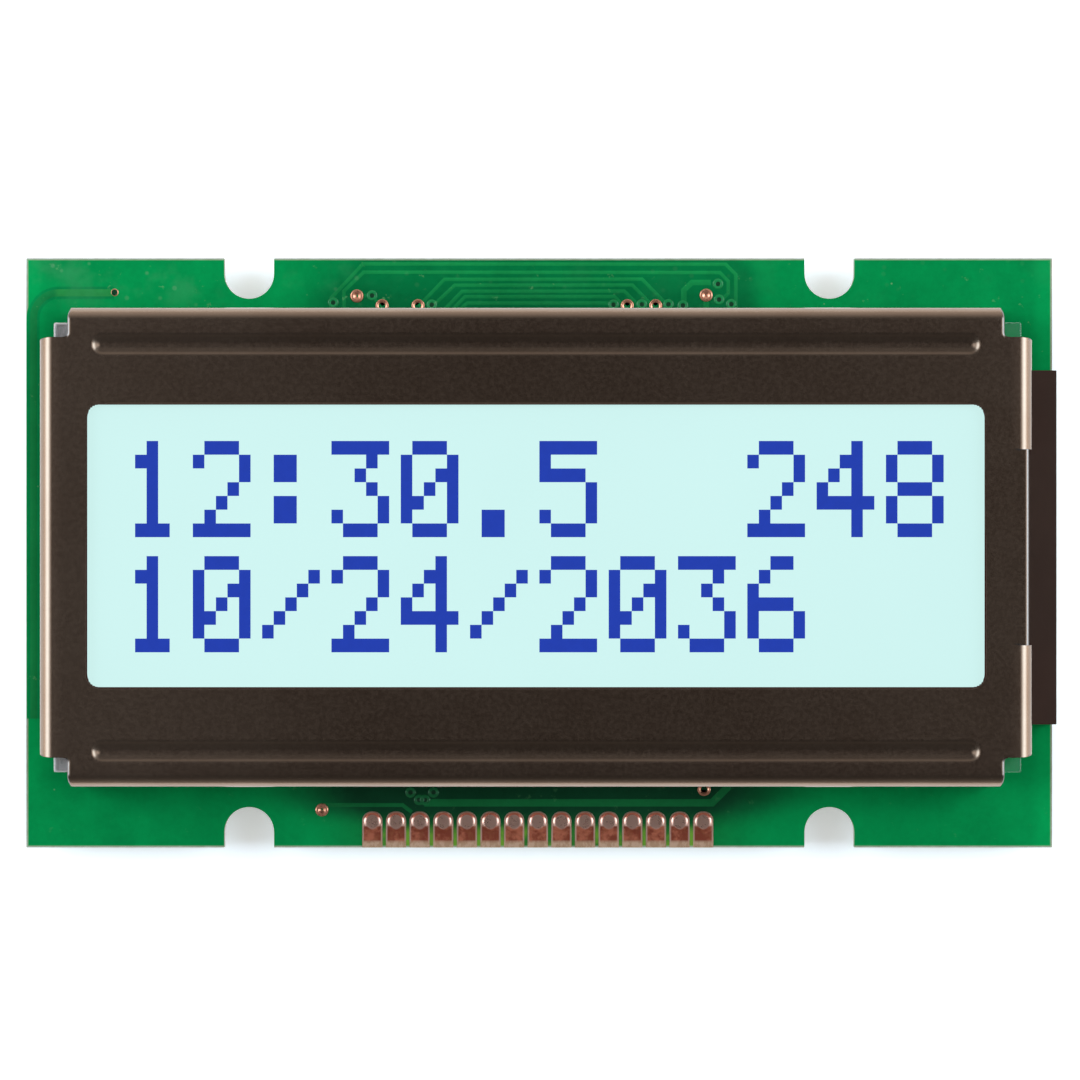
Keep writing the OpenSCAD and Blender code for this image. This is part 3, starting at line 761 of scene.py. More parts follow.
def makeBezel(s):
    halfW, halfH = s["width"] / 2, s["height"] / 2
    armX, armY = halfW - s["cut"][0], halfH - s["cut"][1]
    arc = s["bend"] * math.pi / 2
    wall = s["top"] - s["bend"] - s["foot"]
    endX = halfW - s["bend"] + arc + wall
    endY = halfH - s["bend"] + arc + wall
    tipY = endY + s["foot"] - s["tabTip"]
    quarter = np.linspace(0, np.pi / 2, 8)
    fillet = s["cornerR"] * (1 - np.cos(np.linspace(0, np.pi / 2, 6)))
    window = s["windowR"] * np.cos(quarter)
    rolls = np.array([0.0, 0.03, 0.07, 0.12, 0.20, 0.23, 0.30])
    bendLines = np.linspace(0, arc, 15)
    tabs = np.array([-s["tabX"], 0.0, s["tabX"]])
    a = lineSet(
        np.concatenate([s["windowX"] - s["windowR"] + window, armX + fillet, armX - rolls,
                        halfW - s["bend"] + bendLines, halfW - s["bend"] + arc + np.linspace(0, wall, 5),
                        (tabs[:, None] + s["tabHalf"] * np.linspace(-1, 1, 5)).ravel()]),
        np.concatenate([s["grooveEnd"] + np.linspace(-0.1, 0.72, 30),
                        s["windowX"] + np.array([0.03, 0.06, 0.09, 0.14, 0.22]), np.arange(0, 22.7, 1.6)]), 0.012)
    b = lineSet(
        np.concatenate([s["windowY"] - s["windowR"] + s["windowR"] * np.sin(quarter), armY + fillet,
                        armY - rolls, s["gap"] + np.array([-0.12, 0.0, 0.03, 0.10]),
                        halfH - s["bend"] + bendLines, halfH - s["bend"] + arc + np.linspace(0, wall, 5),
                        endY + np.linspace(0, 1.0, 3) * (s["foot"] - s["tabTop"]),
                        endY + s["foot"] - s["tabTop"] + np.linspace(0, s["twistHeight"], 10), [tipY]]),
        np.concatenate([s["grooveY"][0] + np.linspace(-0.80, 0.72, 62),
                        s["windowY"] + np.array([0.03, 0.06, 0.09, 0.16, 0.18, 0.26]), np.arange(0, 10.0, 1.3)]),
        0.012)

    def inside(a, b):
        # positive on the sheet, nought on its cut outline, negative off it
        p, q = np.abs(a), np.abs(b)
        across = np.minimum(armY - q, endX - p)
        upright = np.minimum(armX - p, endY - q)
        tab = np.minimum(s["tabHalf"] - np.abs(p[..., None] - np.abs(tabs)).min(-1), tipY - q)
        corner = np.minimum(np.hypot(p - armX - s["cornerR"], q - armY - s["cornerR"]) - s["cornerR"],
                            np.minimum(armX + s["cornerR"] - p, armY + s["cornerR"] - q))
        sheet = np.maximum(np.maximum(across, upright), np.maximum(tab, corner))
        gap = np.maximum(halfW - s["bend"] - a, q - s["gap"])
        return np.minimum(sheet, np.minimum(windowDistance(p, q, s), gap))

    gridA, gridB = np.meshgrid(a, b, indexing="ij")
    near = inside(gridA, gridB)
    faces = gridFaces(len(a), len(b))
    corners = near.ravel()[faces]
    centre = inside(gridA.ravel()[faces].mean(1), gridB.ravel()[faces].mean(1))
    low = corners < -1e-6
    quads = faces[(~low.any(1)) & (centre > 1e-6)]
    one = faces[low.sum(1) == 1]
    keep = ~(near.ravel()[one] < -1e-6)
    triangles = one[keep].reshape(-1, 3)

    # fold the sheet, press the grooves and roll the punched edges over
    x, dropX, nx, bendX = foldAlong(gridA, halfW, s["bend"])
    y, dropY, ny, bendY = foldAlong(gridB, halfH, s["bend"])
    z = s["top"] - dropX - dropY
    normal = np.stack([nx, ny, np.cos(bendX) * np.cos(bendY)], -1)
    normal /= np.linalg.norm(normal, axis=-1)[..., None]
    p, q = np.abs(gridA), np.abs(gridB)
    onFace = smoothStep((halfW + 0.35 - p) / 0.3) * smoothStep((halfH + 0.35 - q) / 0.3) \
        * smoothStep((armX + 0.15 - p) / 0.15)
    burr = np.clip(1 - (gridB - s["windowY"]) / s["burrWidth"], 0, 1) * (gridB > s["windowY"] - 1e-6) \
        * smoothStep((s["windowX"] - s["windowR"] - p) / 0.3)
    depth = grooveDepth(gridA, gridB, s) + s["burrDrop"] * burr \
        + rollOver(notchDistance(p, q, s), s["rollWidth"], s["rollDrop"]) * onFace \
        + rollOver(np.maximum(windowDistance(p, q, s), 0), s["windowRoll"], s["windowDrop"])
    points = np.stack([x, y, z], -1) - normal * depth[..., None]
    # the window sits a little above the bezel's own middle
    points[..., 1] += s["windowShift"] * smoothStep((9.7 - q) / 1.5) * (p < halfW - s["bend"] - 0.01)
    # the walls' ends draw in over the bend
    pullX = s["taper"] * np.clip(dropY / s["bend"], 0, 1) * smoothStep((p - armX + 1.0) / 1.0) * (p <= armX + 1e-6)
    pullY = s["taper"] * np.clip(dropX / s["bend"], 0, 1) * smoothStep((q - armY + 1.0) / 1.0) * (q <= armY + 1e-6)
    points[..., 0] -= np.sign(gridA) * pullX * (q > halfH - s["bend"])
    points[..., 1] -= np.sign(gridB) * pullY * (p > halfW - s["bend"])
    # the lock tabs turn about their own middles below the board
    below = s["tabTop"] - points[..., 2]
    turn = np.radians(s["twist"]) * smoothStep(below / s["twistHeight"])
    which = tabs[np.abs(gridA[..., None] - tabs).argmin(-1)]
    mid = halfH - s["sheet"] / 2
    localX, localY = points[..., 0] - which, np.abs(points[..., 1]) - mid
    turned = (below > 0) & (q > endY)
    points[..., 0] = np.where(turned, which + localX * np.cos(turn) - localY * np.sin(turn), points[..., 0])
    points[..., 1] = np.where(turned, np.sign(gridB) * (mid + localX * np.sin(turn) + localY * np.cos(turn)),
                              points[..., 1])

    # the flat lip over the lamp housing
    outward = np.array([0.0, 0.08, 0.16, 0.22, 0.27, 0.31, 0.34, 0.37, 0.40])
    lipA = halfW - s["bend"] + outward * (s["lip"] - halfW + s["bend"]) / 0.40
    lipB = b[np.abs(b) <= s["gap"] + 1e-6]
    la, lb = np.meshgrid(lipA, lipB, indexing="ij")
    lipPoints = np.stack([la, lb, s["top"] - rollOver(s["lip"] - la, s["lipWidth"], s["lipDrop"])], -1)
    lipFaces = gridFaces(len(lipA), len(lipB))

    start = points.size // 3
    allPoints = np.concatenate([points.reshape(-1, 3), lipPoints.reshape(-1, 3)])
    allFaces = [list(f) for f in quads] + [list(f) for f in triangles] + [list(f + start) for f in lipFaces]
    flatA = np.concatenate([gridA.ravel(), la.ravel()])
    flatB = np.concatenate([gridB.ravel(), lb.ravel()])
    used = np.unique(np.concatenate([np.array(f) for f in allFaces]))
    renumber = np.full(len(allPoints), -1)
    renumber[used] = np.arange(len(used))
    allFaces = [[int(renumber[v]) for v in f] for f in allFaces]
    allPoints = allPoints[used] + np.array([*middle, 0.0])
    return allPoints, allFaces, flatA[used], flatB[used]


def addBezel(s):
    points, faces, a, b = makeBezel(s)
    mesh = bpy.data.meshes.new("bezelShell")
    mesh.from_pydata((points * mm).tolist(), [], faces)
    mark(mesh, sheetA=a, sheetB=b)
    work = bmesh.new()
    work.from_mesh(mesh)
    bmesh.ops.remove_doubles(work, verts=work.verts, dist=0.000001)
    work.to_mesh(mesh)
    work.free()
    # cut edges are the sheet's open outline: bare steel, but dark at the window, a dark coat with painted shade
    count = len(mesh.vertices)
    edges = np.empty(len(mesh.edges) * 2, np.int32)
    mesh.edges.foreach_get("vertices", edges)
    edges = edges.reshape(-1, 2)
    loops = np.empty(len(mesh.loops), np.int32)
    mesh.loops.foreach_get("edge_index", loops)
    rim = np.zeros(count, bool)
    rim[edges[np.bincount(loops, minlength=len(edges)) == 1].ravel()] = True
    flat = np.empty((2, count), np.float32)
    for key, row in zip(("sheetA", "sheetB"), flat):
        mesh.attributes[key].data.foreach_get("value", row)
        mesh.attributes.remove(mesh.attributes[key])
    (right, upper), (p, q) = flat > 0, np.abs(flat)
    halfW, halfH = s["width"] / 2, s["height"] / 2
    atWindow = (p < s["windowX"] + 0.01) & (q < s["windowY"] + 0.01)
    below, above = s["windowDark"]
    dark = np.clip(1.4 - windowDistance(p, q, s) / np.where(upper, above, below), 0, 1)
    # the notches' rolled edges are worn bare too, and the edges across their ends are painted dark as shade
    across = smoothStep((p - halfW + s["cut"][0]) / 0.15) * (p < halfW - 0.2)
    worn = np.clip(1.5 - notchDistance(p, q, s) / 0.10, 0, 1) * (p < halfW) * (q < halfH) * (1 - across)
    onLip = right & (p > halfW - s["bend"]) & (q < s["gap"] + 0.01)
    worn = np.maximum(worn, np.clip(1.5 - (s["lip"] - p) / 0.12, 0, 1) * onLip)
    shaded = rim & (across > 0.5) & (q < halfH) & (q > halfH - s["cut"][1] + s["cornerR"] - 1.0)
    mark(mesh, bare=np.maximum(rim & ~atWindow & ~shaded, worn), windowEdge=np.maximum(dark, shaded))
    mesh.shade_smooth()
    piece = place("bezelShell", mesh, "bezel", "bezel_paint", ("bezel",))
    solid = piece.modifiers.new("sheet", "SOLIDIFY")
    solid.thickness = s["sheet"] * mm
    solid.offset = -1.0
    solid.use_even_offset = True
    roundEdges(piece, 0.025, angle=50)


addBezel(bezelShape)
print("bezel folded")

# display

dotShape = {
    "left": -22.29, "top": 6.01,
    "wide": 0.6193, "high": 0.737,
    "charPitch": 3.716, "linePitch": 6.173,
    "thick": 0.008,
    "lines": ("12:30.5  248", "10/24/2036"),
}

digitDots = {
    "0": ("01110", "10001", "10011", "10101", "11001", "10001", "01110"),
    "1": ("00100", "01100", "00100", "00100", "00100", "00100", "01110"),
    "2": ("01110", "10001", "00001", "00010", "00100", "01000", "11111"),
    "3": ("11111", "00010", "00100", "00010", "00001", "10001", "01110"),
    "4": ("00010", "00110", "01010", "10010", "11111", "00010", "00010"),
    "5": ("11111", "10000", "11110", "00001", "00001", "10001", "01110"),
    "6": ("00110", "01000", "10000", "11110", "10001", "10001", "01110"),
    "8": ("01110", "10001", "10001", "01110", "10001", "10001", "01110"),
    ":": ("00000", "01100", "01100", "00000", "01100", "01100", "00000"),
    ".": ("00000", "00000", "00000", "00000", "00000", "01100", "01100"),
    "/": ("00000", "00001", "00010", "00100", "01000", "10000", "00000"),
}


cube = np.array([(0, 0, 0), (1, 0, 0), (1, 1, 0), (0, 1, 0), (0, 0, 1), (1, 0, 1), (1, 1, 1), (0, 1, 1)], float)
cubeFaces = np.array([(0, 3, 2, 1), (4, 5, 6, 7), (0, 1, 5, 4), (1, 2, 6, 5), (2, 3, 7, 6), (3, 0, 4, 7)])


def makeDots(s):
    # the lit dots' column and row, then one thin block for each
    cells = [(place * s["charPitch"] + column * s["wide"], line * s["linePitch"] + row * s["high"])
             for line, text in enumerate(s["lines"]) for place, sign in enumerate(text) if sign != " "
             for row, bits in enumerate(digitDots[sign]) for column, bit in enumerate(bits) if bit == "1"]
    corner = np.array(cells)
    low = np.stack([s["left"] + corner[:, 0], s["top"] - corner[:, 1] - s["high"]], 1)
    corner = np.column_stack([low, np.full(len(low), boxMm("front_polarizer")[1][2])])
    points = corner[:, None] + cube * (s["wide"], s["high"], s["thick"])
    return points, (cubeFaces + 8 * np.arange(len(low))[:, None, None]).reshape(-1, 4)


addPiece("displayDots", makeDots(dotShape), "ink", "polarizer")

# the plates and strips are blocks with rounded edges
plateShape = {"left": 0.20, "right": 0.10, "front_glass": 0.23, "rear_glass": 0.0, "arris": 0.08}


def addBlock(name, node, low, high, finish, slot, bevel, segments=2):
    block = (low + cube * (high - low), cubeFaces)
    roundEdges(addPiece(name, block, finish, slot, (node,)), bevel, segments)


for node, name in (("front_glass", "frontGlassPlate"), ("rear_glass", "rearGlassPlate")):
    low, high = boxMm(node)
    addBlock(name, node, low + (plateShape["left"], plateShape[node], 0),
             high + (plateShape["right"], -plateShape[node], 0), "glass", "cell_glass", plateShape["arris"])
for node, name in (("elastomer_strip_upper", "elastomerUpper"), ("elastomer_strip_lower", "elastomerLower")):
    addBlock(name, node, *boxMm(node), "rubber", "elastomer", 0.10, 3)
print("display ready")

# board: tracks, covered and open plated points, edge pads

trackShape = {"high": 0.008, "lamp": 0.42, "trough": 0.77, "troughHigh": 0.003}

topTracks = [
    (0.19, [(-11.30, 13.0), (-11.30, 13.84), (-9.57, 15.69), (10.12, 15.67), (10.67, 15.11), (10.67, 13.2)]),
    (0.19, [(-10.60, 13.0), (-10.60, 14.22), (-9.53, 15.24), (9.80, 15.22), (10.26, 14.75), (10.26, 14.10),
            (9.88, 13.70)]),
    (0.19, [(-6.56, 13.38), (-5.15, 14.85), (5.58, 14.86), (6.95, 13.45)]),
    (0.19, [(-6.0, 13.20), (-4.59, 14.53), (5.05, 14.54), (6.3, 13.25)]),
    (0.19, [(-5.26, 13.1), (-4.19, 14.20), (4.62, 14.21), (5.7, 13.1)]),
    (0.19, [(-4.82, 13.1), (-4.03, 13.91), (4.08, 13.92), (4.9, 13.1)]),
    (0.19, [(-4.54, 13.0), (-3.91, 13.56), (3.75, 13.56), (4.3, 13.0)]),
    (0.30, [(9.32, 14.68), (8.29, 14.68), (7.85, 14.27), (7.85, 13.2)]),
    (0.30, [(9.06, 13.9), (9.06, 13.1)]),
    (0.19, [(-9.90, 13.95), (-9.06, 13.97), (-8.53, 13.2)]),
    (0.21, [(-11.80, -13.95), (-11.60, -13.69), (-7.42, -13.69), (-6.92, -14.07)]),
    (0.40, [(-6.24, -13.57), (9.38, -13.57), (10.30, -12.65)]),
]
lampTrack = [(-23.08, 14.12), (-26.1, 14.12)] + arcTo((-26.1, 12.76), 1.36, 90, 180, 9)[1:] + [(-27.44, -9.0)]


def trackRuns(tracks, z, side):
    return joinParts([ribbon(path, width, trackShape["high"], z, side) for width, path in tracks])


addPiece("frontTracks", trackRuns(topTracks, boardTop, 1), "track", "solder_mask", smooth=60)
# the lamp's track lies in a shallow trough of bare laminate; the marks tell the two apart
trough = ribbon(lampTrack, trackShape["trough"], trackShape["troughHigh"], boardTop)
lampRun = ribbon(lampTrack, trackShape["lamp"], trackShape["high"] + 0.002, boardTop)
lampTone = np.concatenate([np.tile((-0.40, -1.0, -1.0, -0.40), len(lampTrack)),
                           np.where(lampRun[0][:, 0] > -26.2, 0.9, 0.25)])
# mask in the small point's mouth, painted dark as the hole's shade, leaving a crescent of its ring
mouth = revolve([(0.0, 0.026), (0.13, 0.026), (0.165, 0.020)], (-23.06, 14.14, boardTop), 24)
lampTone = np.concatenate([lampTone, np.zeros(len(mouth[0]))])
mouthMark = np.arange(len(lampTone)) >= len(lampTone) - len(mouth[0])
addPiece("lampTrack", joinParts([trough, lampRun, (mouth[0], mouth[1][:, ::-1])]), "track", "solder_mask",
         smooth=60, merge=0.0005, warm=lampTone, hole=mouthMark)

coveredPoints = [(9.70, 14.60), (9.76, 13.75), (10.43, 13.50), (7.01, 13.49), (7.80, 13.43),
                 (4.03, 13.47), (5.57, 13.49), (-9.08, 13.97), (-11.19, 13.59), (-5.84, 13.47),
                 (-6.99, -13.0), (-5.74, -13.0), (-6.52, -13.41), (-6.21, -13.41)]
coveredProfile = np.array([(0.0, 0.010), (0.09, 0.010), (0.115, 0.010), (0.150, 0.020), (0.19, 0.028),
                           (0.24, 0.027), (0.275, 0.014), (0.29, 0.0)])


def addCovered(name, places, z, side, finish):
    # the hole's middle is marked 1 for its painted shade, the raised lip round it a little below nought
    rings = [revolve(coveredProfile * (1, side), (x, y, z), 24) for x, y in places]
    radius = coveredProfile[:, 0]
    hole = np.repeat(np.where(radius < 0.12, 1.0, np.where(radius < 0.25, -0.7, 0.0)), 24)
    addPiece(name, joinParts([(points, faces[:, ::side]) for points, faces in rings]), finish, "solder_mask",
             hole=np.tile(hole, len(places)), **turned)


addCovered("coveredPoints", coveredPoints, boardTop, 1, "point")

platedPoints = [(-9.90, 13.95, "filled"), (-8.53, 13.42, "open"), (-6.58, 13.42, "open"), (4.78, 13.42, "open"),
                (6.32, 13.42, "open"), (9.06, 13.99, "filled"), (-11.80, -13.95, "filled"),
                (8.95, -12.84, "open"), (-23.05, 14.14, "small")]
pointProfiles = {
    "open": [(0.172, -1.59), (0.172, -0.05), (0.178, 0.008), (0.20, 0.024), (0.25, 0.044), (0.29, 0.053),
             (0.325, 0.054), (0.348, 0.040), (0.36, 0.0)],
    "filled": [(0.0, 0.004), (0.07, 0.006), (0.10, 0.012), (0.14, 0.032), (0.18, 0.052), (0.21, 0.060),
               (0.25, 0.063), (0.32, 0.062), (0.348, 0.045), (0.36, 0.0)],
    "small": [(0.11, -0.40), (0.11, 0.005), (0.125, 0.018), (0.155, 0.022), (0.19, 0.012), (0.205, 0.0)],
}


addPiece("platedRings", joinParts([revolve(pointProfiles[kind], (x, y, boardTop), 32) for x, y, kind in platedPoints]),
         "ring", "plated_copper", ("plated_points",), **turned)

# tracks and covered points on the back; those at +x mirror those at -x
backPaths = [
    (0.35, [(-6.5, -8.6), (-6.5, -7.3), (-8.8, -5.0)]), (0.35, [(-3.9, -8.6), (-3.9, -6.6), (-7.4, -3.1)]),
    (0.35, [(-1.3, -8.6), (-1.3, -4.4), (-2.5, -3.2), (-6.8, -3.2)]),
    (0.35, [(-6.5, -10.2), (-6.5, -15.3)]), (0.35, [(-3.9, -10.2), (-3.9, -15.3)]),
    (0.35, [(-1.3, -10.2), (-1.3, -11.2), (-2.2, -12.1), (-2.2, -15.3)]),
    (0.35, [(-3.2, 8.4), (-3.2, 6.6), (-5.6, 4.2), (-8.4, 4.2)]),
    (0.50, [(-3.2, 10.0), (-3.2, 11.7), (-4.2, 12.7)]),
    (0.80, [(-17.4, 1.8), (-21.2, 5.6), (-26.6, 5.6)]), (0.80, [(-17.4, -1.8), (-20.9, -5.3), (-26.6, -5.3)]),
    (0.35, [(-9.3, 5.0), (-9.3, 9.2), (-11.6, 11.5), (-11.6, 13.4)]),
    (0.35, [(-12.0, 5.8), (-12.0, 8.6), (-14.4, 11.0)]),
    (0.35, [(-12.0, -5.8), (-12.0, -8.2), (-14.8, -11.0)]), (0.35, [(-14.6, -5.0), (-14.6, -7.0), (-17.4, -9.8)]),
]
backPaths += [(width, [(-x, y) for x, y in path]) for width, path in backPaths]
backPaths += [(0.30, [(-6.9, y), (6.9, y)]) for y in (-2.2, -1.1, 0.0, 1.1, 2.2)]
addPiece("backTracks", trackRuns(backPaths, 0.0, -1), "track", "solder_mask", smooth=60)
backPoints = [(-4.2, 12.7), (-11.6, 13.4), (-14.4, 11.0), (-14.8, -11.0), (-17.4, -9.8)]
backPoints += [(-x, y) for x, y in backPoints]
addCovered("backPoints", backPoints, -0.004, -1, "track")

# mask drawn over the open points' mouths on the back; its middle is painted dark as the holes' shade
tents = [(x, y) for x, y, kind in platedPoints if kind != "filled"]
tentProfile = [(0.42, 0.0), (0.38, -0.012), (0.20, -0.016), (0.0, -0.014)]
addPiece("backTents", joinParts([revolve(tentProfile, (x, y, 0.0), 24) for x, y in tents]), "track", "solder_mask",
         hole=np.tile(np.repeat((0.0, 0.0, 1.0, 1.0), 24), len(tents)), **turned)

padShape = {
    "count": 15, "pitch": 1.283, "shift": -0.08, "half": 0.55, "top": -14.03, "foot": -16.0,
    "copper": 0.045, "rim": 0.05,
    "cushion": 0.11, "flat": 0.29, "shoulder": 0.20, "tall": 0.84, "square": 2.2,
    "cutEnd": -15.64,
}


def makePads(s):
    # rows run up the straight part and round the end, columns across; height from copper edge and cushion
    centreY = s["top"] - s["half"]
    angle = np.linspace(0, np.pi / 2, 15)[1:]
    rowY = np.concatenate([np.linspace(s["foot"], s["cutEnd"], 4), np.linspace(s["cutEnd"], centreY, 22)[1:],
                           centreY + s["half"] * np.sin(angle)])
    # the round end is a little squarer than a circle
    power = s["square"]
    rise = np.clip((rowY - centreY) / s["half"], 0, 1)
    rowHalf = s["half"] * (1 - rise ** power) ** (1 / power)
    u = np.sin(np.linspace(-np.pi / 2, np.pi / 2, 31))
    x, y = u[None, :] * rowHalf[:, None], np.repeat(rowY[:, None], len(u), 1)
    reach = (np.abs(x) ** power + np.maximum(y - centreY, 0) ** power) ** (1 / power)
    edge = np.maximum(s["half"] - reach, 0)
    t = 1 - np.clip(edge / s["rim"], 0, 1)
    copper = s["copper"] * np.sqrt(1 - t ** 2)
    lobe = np.hypot(x, (y - centreY) * s["tall"])
    k = np.clip((lobe - s["flat"]) / s["shoulder"], 0, 1)
    cushion = s["cushion"] * np.sqrt(1 - k ** 2)
    z = boardTop + copper + cushion * np.where(edge < 0.02, edge / 0.02, 1.0)
    hollow = smoothStep((centreY - 0.20 - y) / 0.08) * smoothStep((lobe - s["flat"] - 0.02) / 0.05) \
        * smoothStep((edge - 0.05) / 0.05)
    crown = smoothStep((lobe - s["flat"]) / 0.06) * smoothStep((y - centreY - 0.10) / 0.25)
    end = smoothStep((s["cutEnd"] - y) / 0.05 + 0.5)
    rim = smoothStep((0.09 - edge) / 0.05)
    # a skirt closes the cut end down to the board
    skirt = np.stack([x[0], y[0], np.full(len(u), boardTop)], -1)
    edgeRow = np.arange(len(u) - 1)
    front = np.stack([x.size + edgeRow, x.size + edgeRow + 1, edgeRow + 1, edgeRow], 1)
    points = np.concatenate([np.stack([x, y, z], -1).reshape(-1, 3), skirt])
    faces = np.concatenate([gridFaces(len(rowY), len(u))[:, ::-1], front])
    shift = (np.arange(s["count"]) - (s["count"] - 1) / 2) * s["pitch"] + s["shift"]
    marks = {key: np.tile(np.concatenate([m.ravel(), m[0]]), s["count"])
             for key, m in (("hollow", hollow), ("cutEnd", end), ("rim", rim), ("crown", crown))}
    return joinParts([(points + (dx, 0, 0), faces) for dx in shift]), marks


pads, padMarks = makePads(padShape)
addPiece("edgePads", pads, "pads", "tinned_pad", ("edge_pads",), smooth=50, **padMarks)
print("board dressed")

# lamp


def softCopy(name, node, finish, slot, bevel, stretch=(1.0, 1.0)):
    # a copy of a solid with its own edges rounded, drawn in along X and Y if asked
    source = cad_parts[node]
    mesh = source.data.copy()
    work = bmesh.new()
    work.from_mesh(mesh)
    work.transform(source.matrix_world)
    for vertex in work.verts:
        vertex.co.x *= stretch[0]
        vertex.co.y = (vertex.co.y - middle[1] * mm) * stretch[1] + middle[1] * mm
    bmesh.ops.remove_doubles(work, verts=work.verts, dist=0.000001)
    bmesh.ops.dissolve_limit(work, angle_limit=math.radians(1), verts=work.verts, edges=work.edges)
    work.to_mesh(mesh)
    work.free()
    mesh.shade_smooth()
    mesh.set_sharp_from_angle(angle=math.radians(40))
    roundEdges(place(name, mesh, finish, slot, (node,)), bevel, angle=40)


softCopy("lampCover", "lamp_housing", "lamp", "lamp_cover", 0.035)
softCopy("trayFrame", "backlight_frame", "tray", "frame_plastic", 0.08, stretch=(0.9942, 0.9813))

# back: resin covers, chips, leads and their solder

coverShape = {"rim": 6.2, "flat": 3.1, "high": 1.6}


def makeCover(node, s, phase):
    # a flat-topped dome whose foot wanders a little, hanging from the board's back
    low, high = boxMm(node)
    centre = ((low[0] + high[0]) / 2, (low[1] + high[1]) / 2)
    t = np.concatenate([np.linspace(0, 0.45, 8), np.linspace(0.5, 1, 22)])
    turn = np.linspace(0, 2 * np.pi, 96, endpoint=False)
    wander = 1 - 0.012 * (1 + np.sin(3 * turn + phase)) / 2 - 0.008 * (1 + np.sin(5 * turn + 2 * phase)) / 2
    radius = t * s["rim"]
    flat = s["flat"] / s["rim"]
    k = np.clip((t - flat) / (1 - flat), 0, 1)
    fall = s["high"] * (1 - k ** 1.9) ** 0.92
    points = np.empty((len(t), len(turn), 3))
    reach = radius[:, None] * (1 + (wander[None, :] - 1) * k[:, None])
    points[..., 0] = centre[0] + reach * np.cos(turn)
    points[..., 1] = centre[1] + reach * np.sin(turn)
    points[..., 2] = -fall[:, None]
    return points.reshape(-1, 3), gridFaces(len(t), len(turn), wrap=True)[:, ::-1]


for name, node, phase in (("controllerResin", "controller_cover", 0.4), ("driverResin", "driver_cover", 2.1)):
    addPiece(name, makeCover(node, coverShape, phase), "resin", "cover_resin", (node,), **turned)

chipShape = {"corner": 0.05, "cap": 0.40, "proud": 0.02}


def makeChip(node, s):
    # rounded sections along the chip: its capped ends stand a little proud of the body
    low, high = boxMm(node)
    half = (high - low) / 2
    centre = (high + low) / 2
    length = half[1]
    stations = np.array([(-length, -0.06), (-length + 0.02, -0.02), (-length + 0.06, 0.0),
                         (-length + s["cap"] - 0.01, 0.0), (-length + s["cap"] + 0.01, -s["proud"]),
                         (length - s["cap"] - 0.01, -s["proud"]), (length - s["cap"] + 0.01, 0.0),
                         (length - 0.06, 0.0), (length - 0.02, -0.02), (length, -0.06)])
    turn = np.radians(np.linspace(0, 90, 4))
    ring = []
    for sx, sz, first in ((1, 1, 0), (-1, 1, 90), (-1, -1, 180), (1, -1, 270)):
        angle = turn + math.radians(first)
        ring.append(np.stack([sx * (half[0] - s["corner"]) + s["corner"] * np.cos(angle),
                              sz * (half[2] - s["corner"]) + s["corner"] * np.sin(angle)], 1))
    ring = np.concatenate(ring)
    points = np.empty((len(stations), len(ring), 3))
    shrink = 1 + stations[:, 1][:, None, None] / np.array([half[0], half[2]])
    section = ring[None] * shrink
    points[..., 0] = centre[0] + section[..., 0]
    points[..., 1] = (centre[1] + stations[:, 0])[:, None]
    points[..., 2] = centre[2] + section[..., 1]
    faces = gridFaces(len(stations), len(ring), wrap=True)[:, ::-1].tolist()
    last = (len(stations) - 1) * len(ring)
    faces += [list(range(len(ring))), list(range(last + len(ring) - 1, last - 1, -1))]
    return points.reshape(-1, 3), [f[::-1] for f in faces]


for kind, count in (("resistor", 6), ("capacitor", 2)):
    for number in range(1, count + 1):
        node = f"{kind}_{number}"
        addPiece(f"{kind}Chip{number}", makeChip(node, chipShape), kind, f"{kind}_body", (node,), smooth=60)

leads = {"anodeLead": "lamp_lead_anode", "cathodeLead": "lamp_lead_cathode"}
cones = {"foot": 0.68, "tip": 0.27, "high": 0.68, "hollow": 2.2}


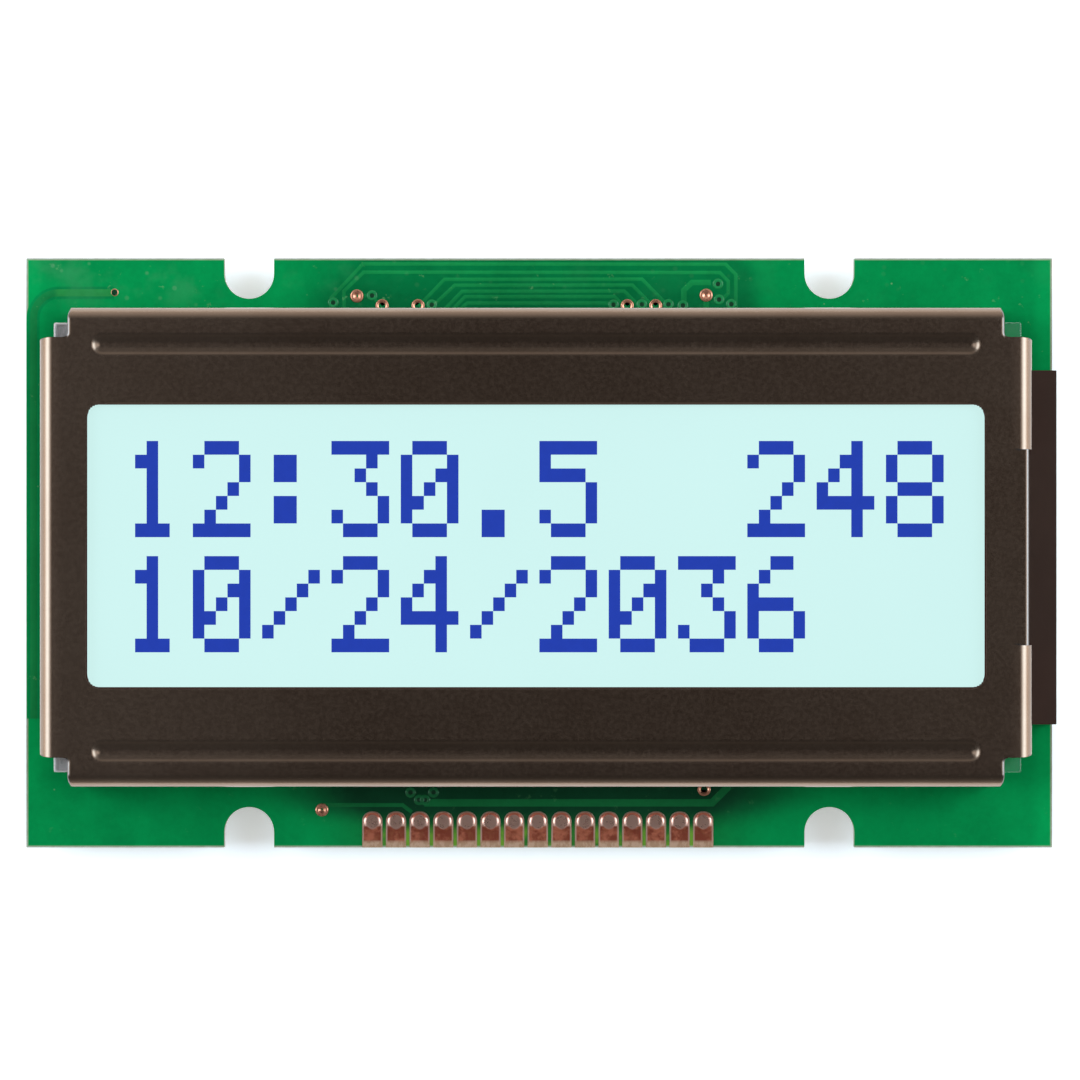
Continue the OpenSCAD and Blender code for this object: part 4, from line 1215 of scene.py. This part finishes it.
def makeLead(node):
    # a round wire with a sheared, softly rounded tip
    low, high = boxMm(node)
    radius = (high[0] - low[0]) / 2
    profile = [(0, low[2]), (radius * 0.8, low[2]), (radius, low[2] + 0.06), (radius, high[2] - 0.02), (0, high[2])]
    return revolve(profile, ((low[0] + high[0]) / 2, (low[1] + high[1]) / 2, 0.0), 32)


def makeCones(s):
    # concave cones: the radius falls fast near the board and slowly up the wire
    parts = []
    for node in leads.values():
        low, high = boxMm(node)
        t = np.linspace(0, 1, 14)
        radius = s["tip"] + (s["foot"] - s["tip"]) * (1 - t) ** s["hollow"]
        profile = np.concatenate([np.stack([radius, -s["high"] * t], 1), [(0.2, -s["high"] + 0.01)]])
        parts.append(revolve(profile, ((low[0] + high[0]) / 2, (low[1] + high[1]) / 2, 0.0), 40))
    return joinParts(parts)


for name, node in leads.items():
    addPiece(name, makeLead(node), "wire", "tinned_wire", (node,), smooth=50, merge=0.0005)
addPiece("leadCones", makeCones(cones), "solder", "solder", ("lead_solder",), smooth=60)
print("back dressed")

# CAD pieces that keep their own shape

plainFinishes = {
    "board": "mask", "bezel": "bezel", "front_polarizer": "ground", "front_glass": "glass",
    "rear_glass": "glass", "rear_polarizer": "film", "cell_seal": "seal", "fill_plug": "plug",
    "elastomer_strip_upper": "rubber", "elastomer_strip_lower": "rubber", "backlight_frame": "tray",
    "light_guide": "guide", "reflector_sheet": "film", "diffuser_sheet": "film", "prism_sheet": "film",
    "lamp_housing": "lamp", "lamp_board": "strip", "contact_fingers": "gold", "edge_pads": "pads",
    "plated_points": "ring", "lead_solder": "solder", "chip_solder": "solder",
    "lamp_lead_anode": "wire", "lamp_lead_cathode": "wire", "controller_die": "silicon",
    "driver_die": "silicon", "controller_cover": "resin", "driver_cover": "resin",
    "led_1": "led", "led_2": "led", "led_3": "led",
}
plainFinishes.update({f"resistor_{number}": "resistor" for number in range(1, 7)})
plainFinishes.update({f"capacitor_{number}": "capacitor" for number in (1, 2)})
for node, finish in plainFinishes.items():
    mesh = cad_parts[node].data
    mesh.materials.clear()
    mesh.materials.append(finishes[finish])
print("CAD pieces dressed")
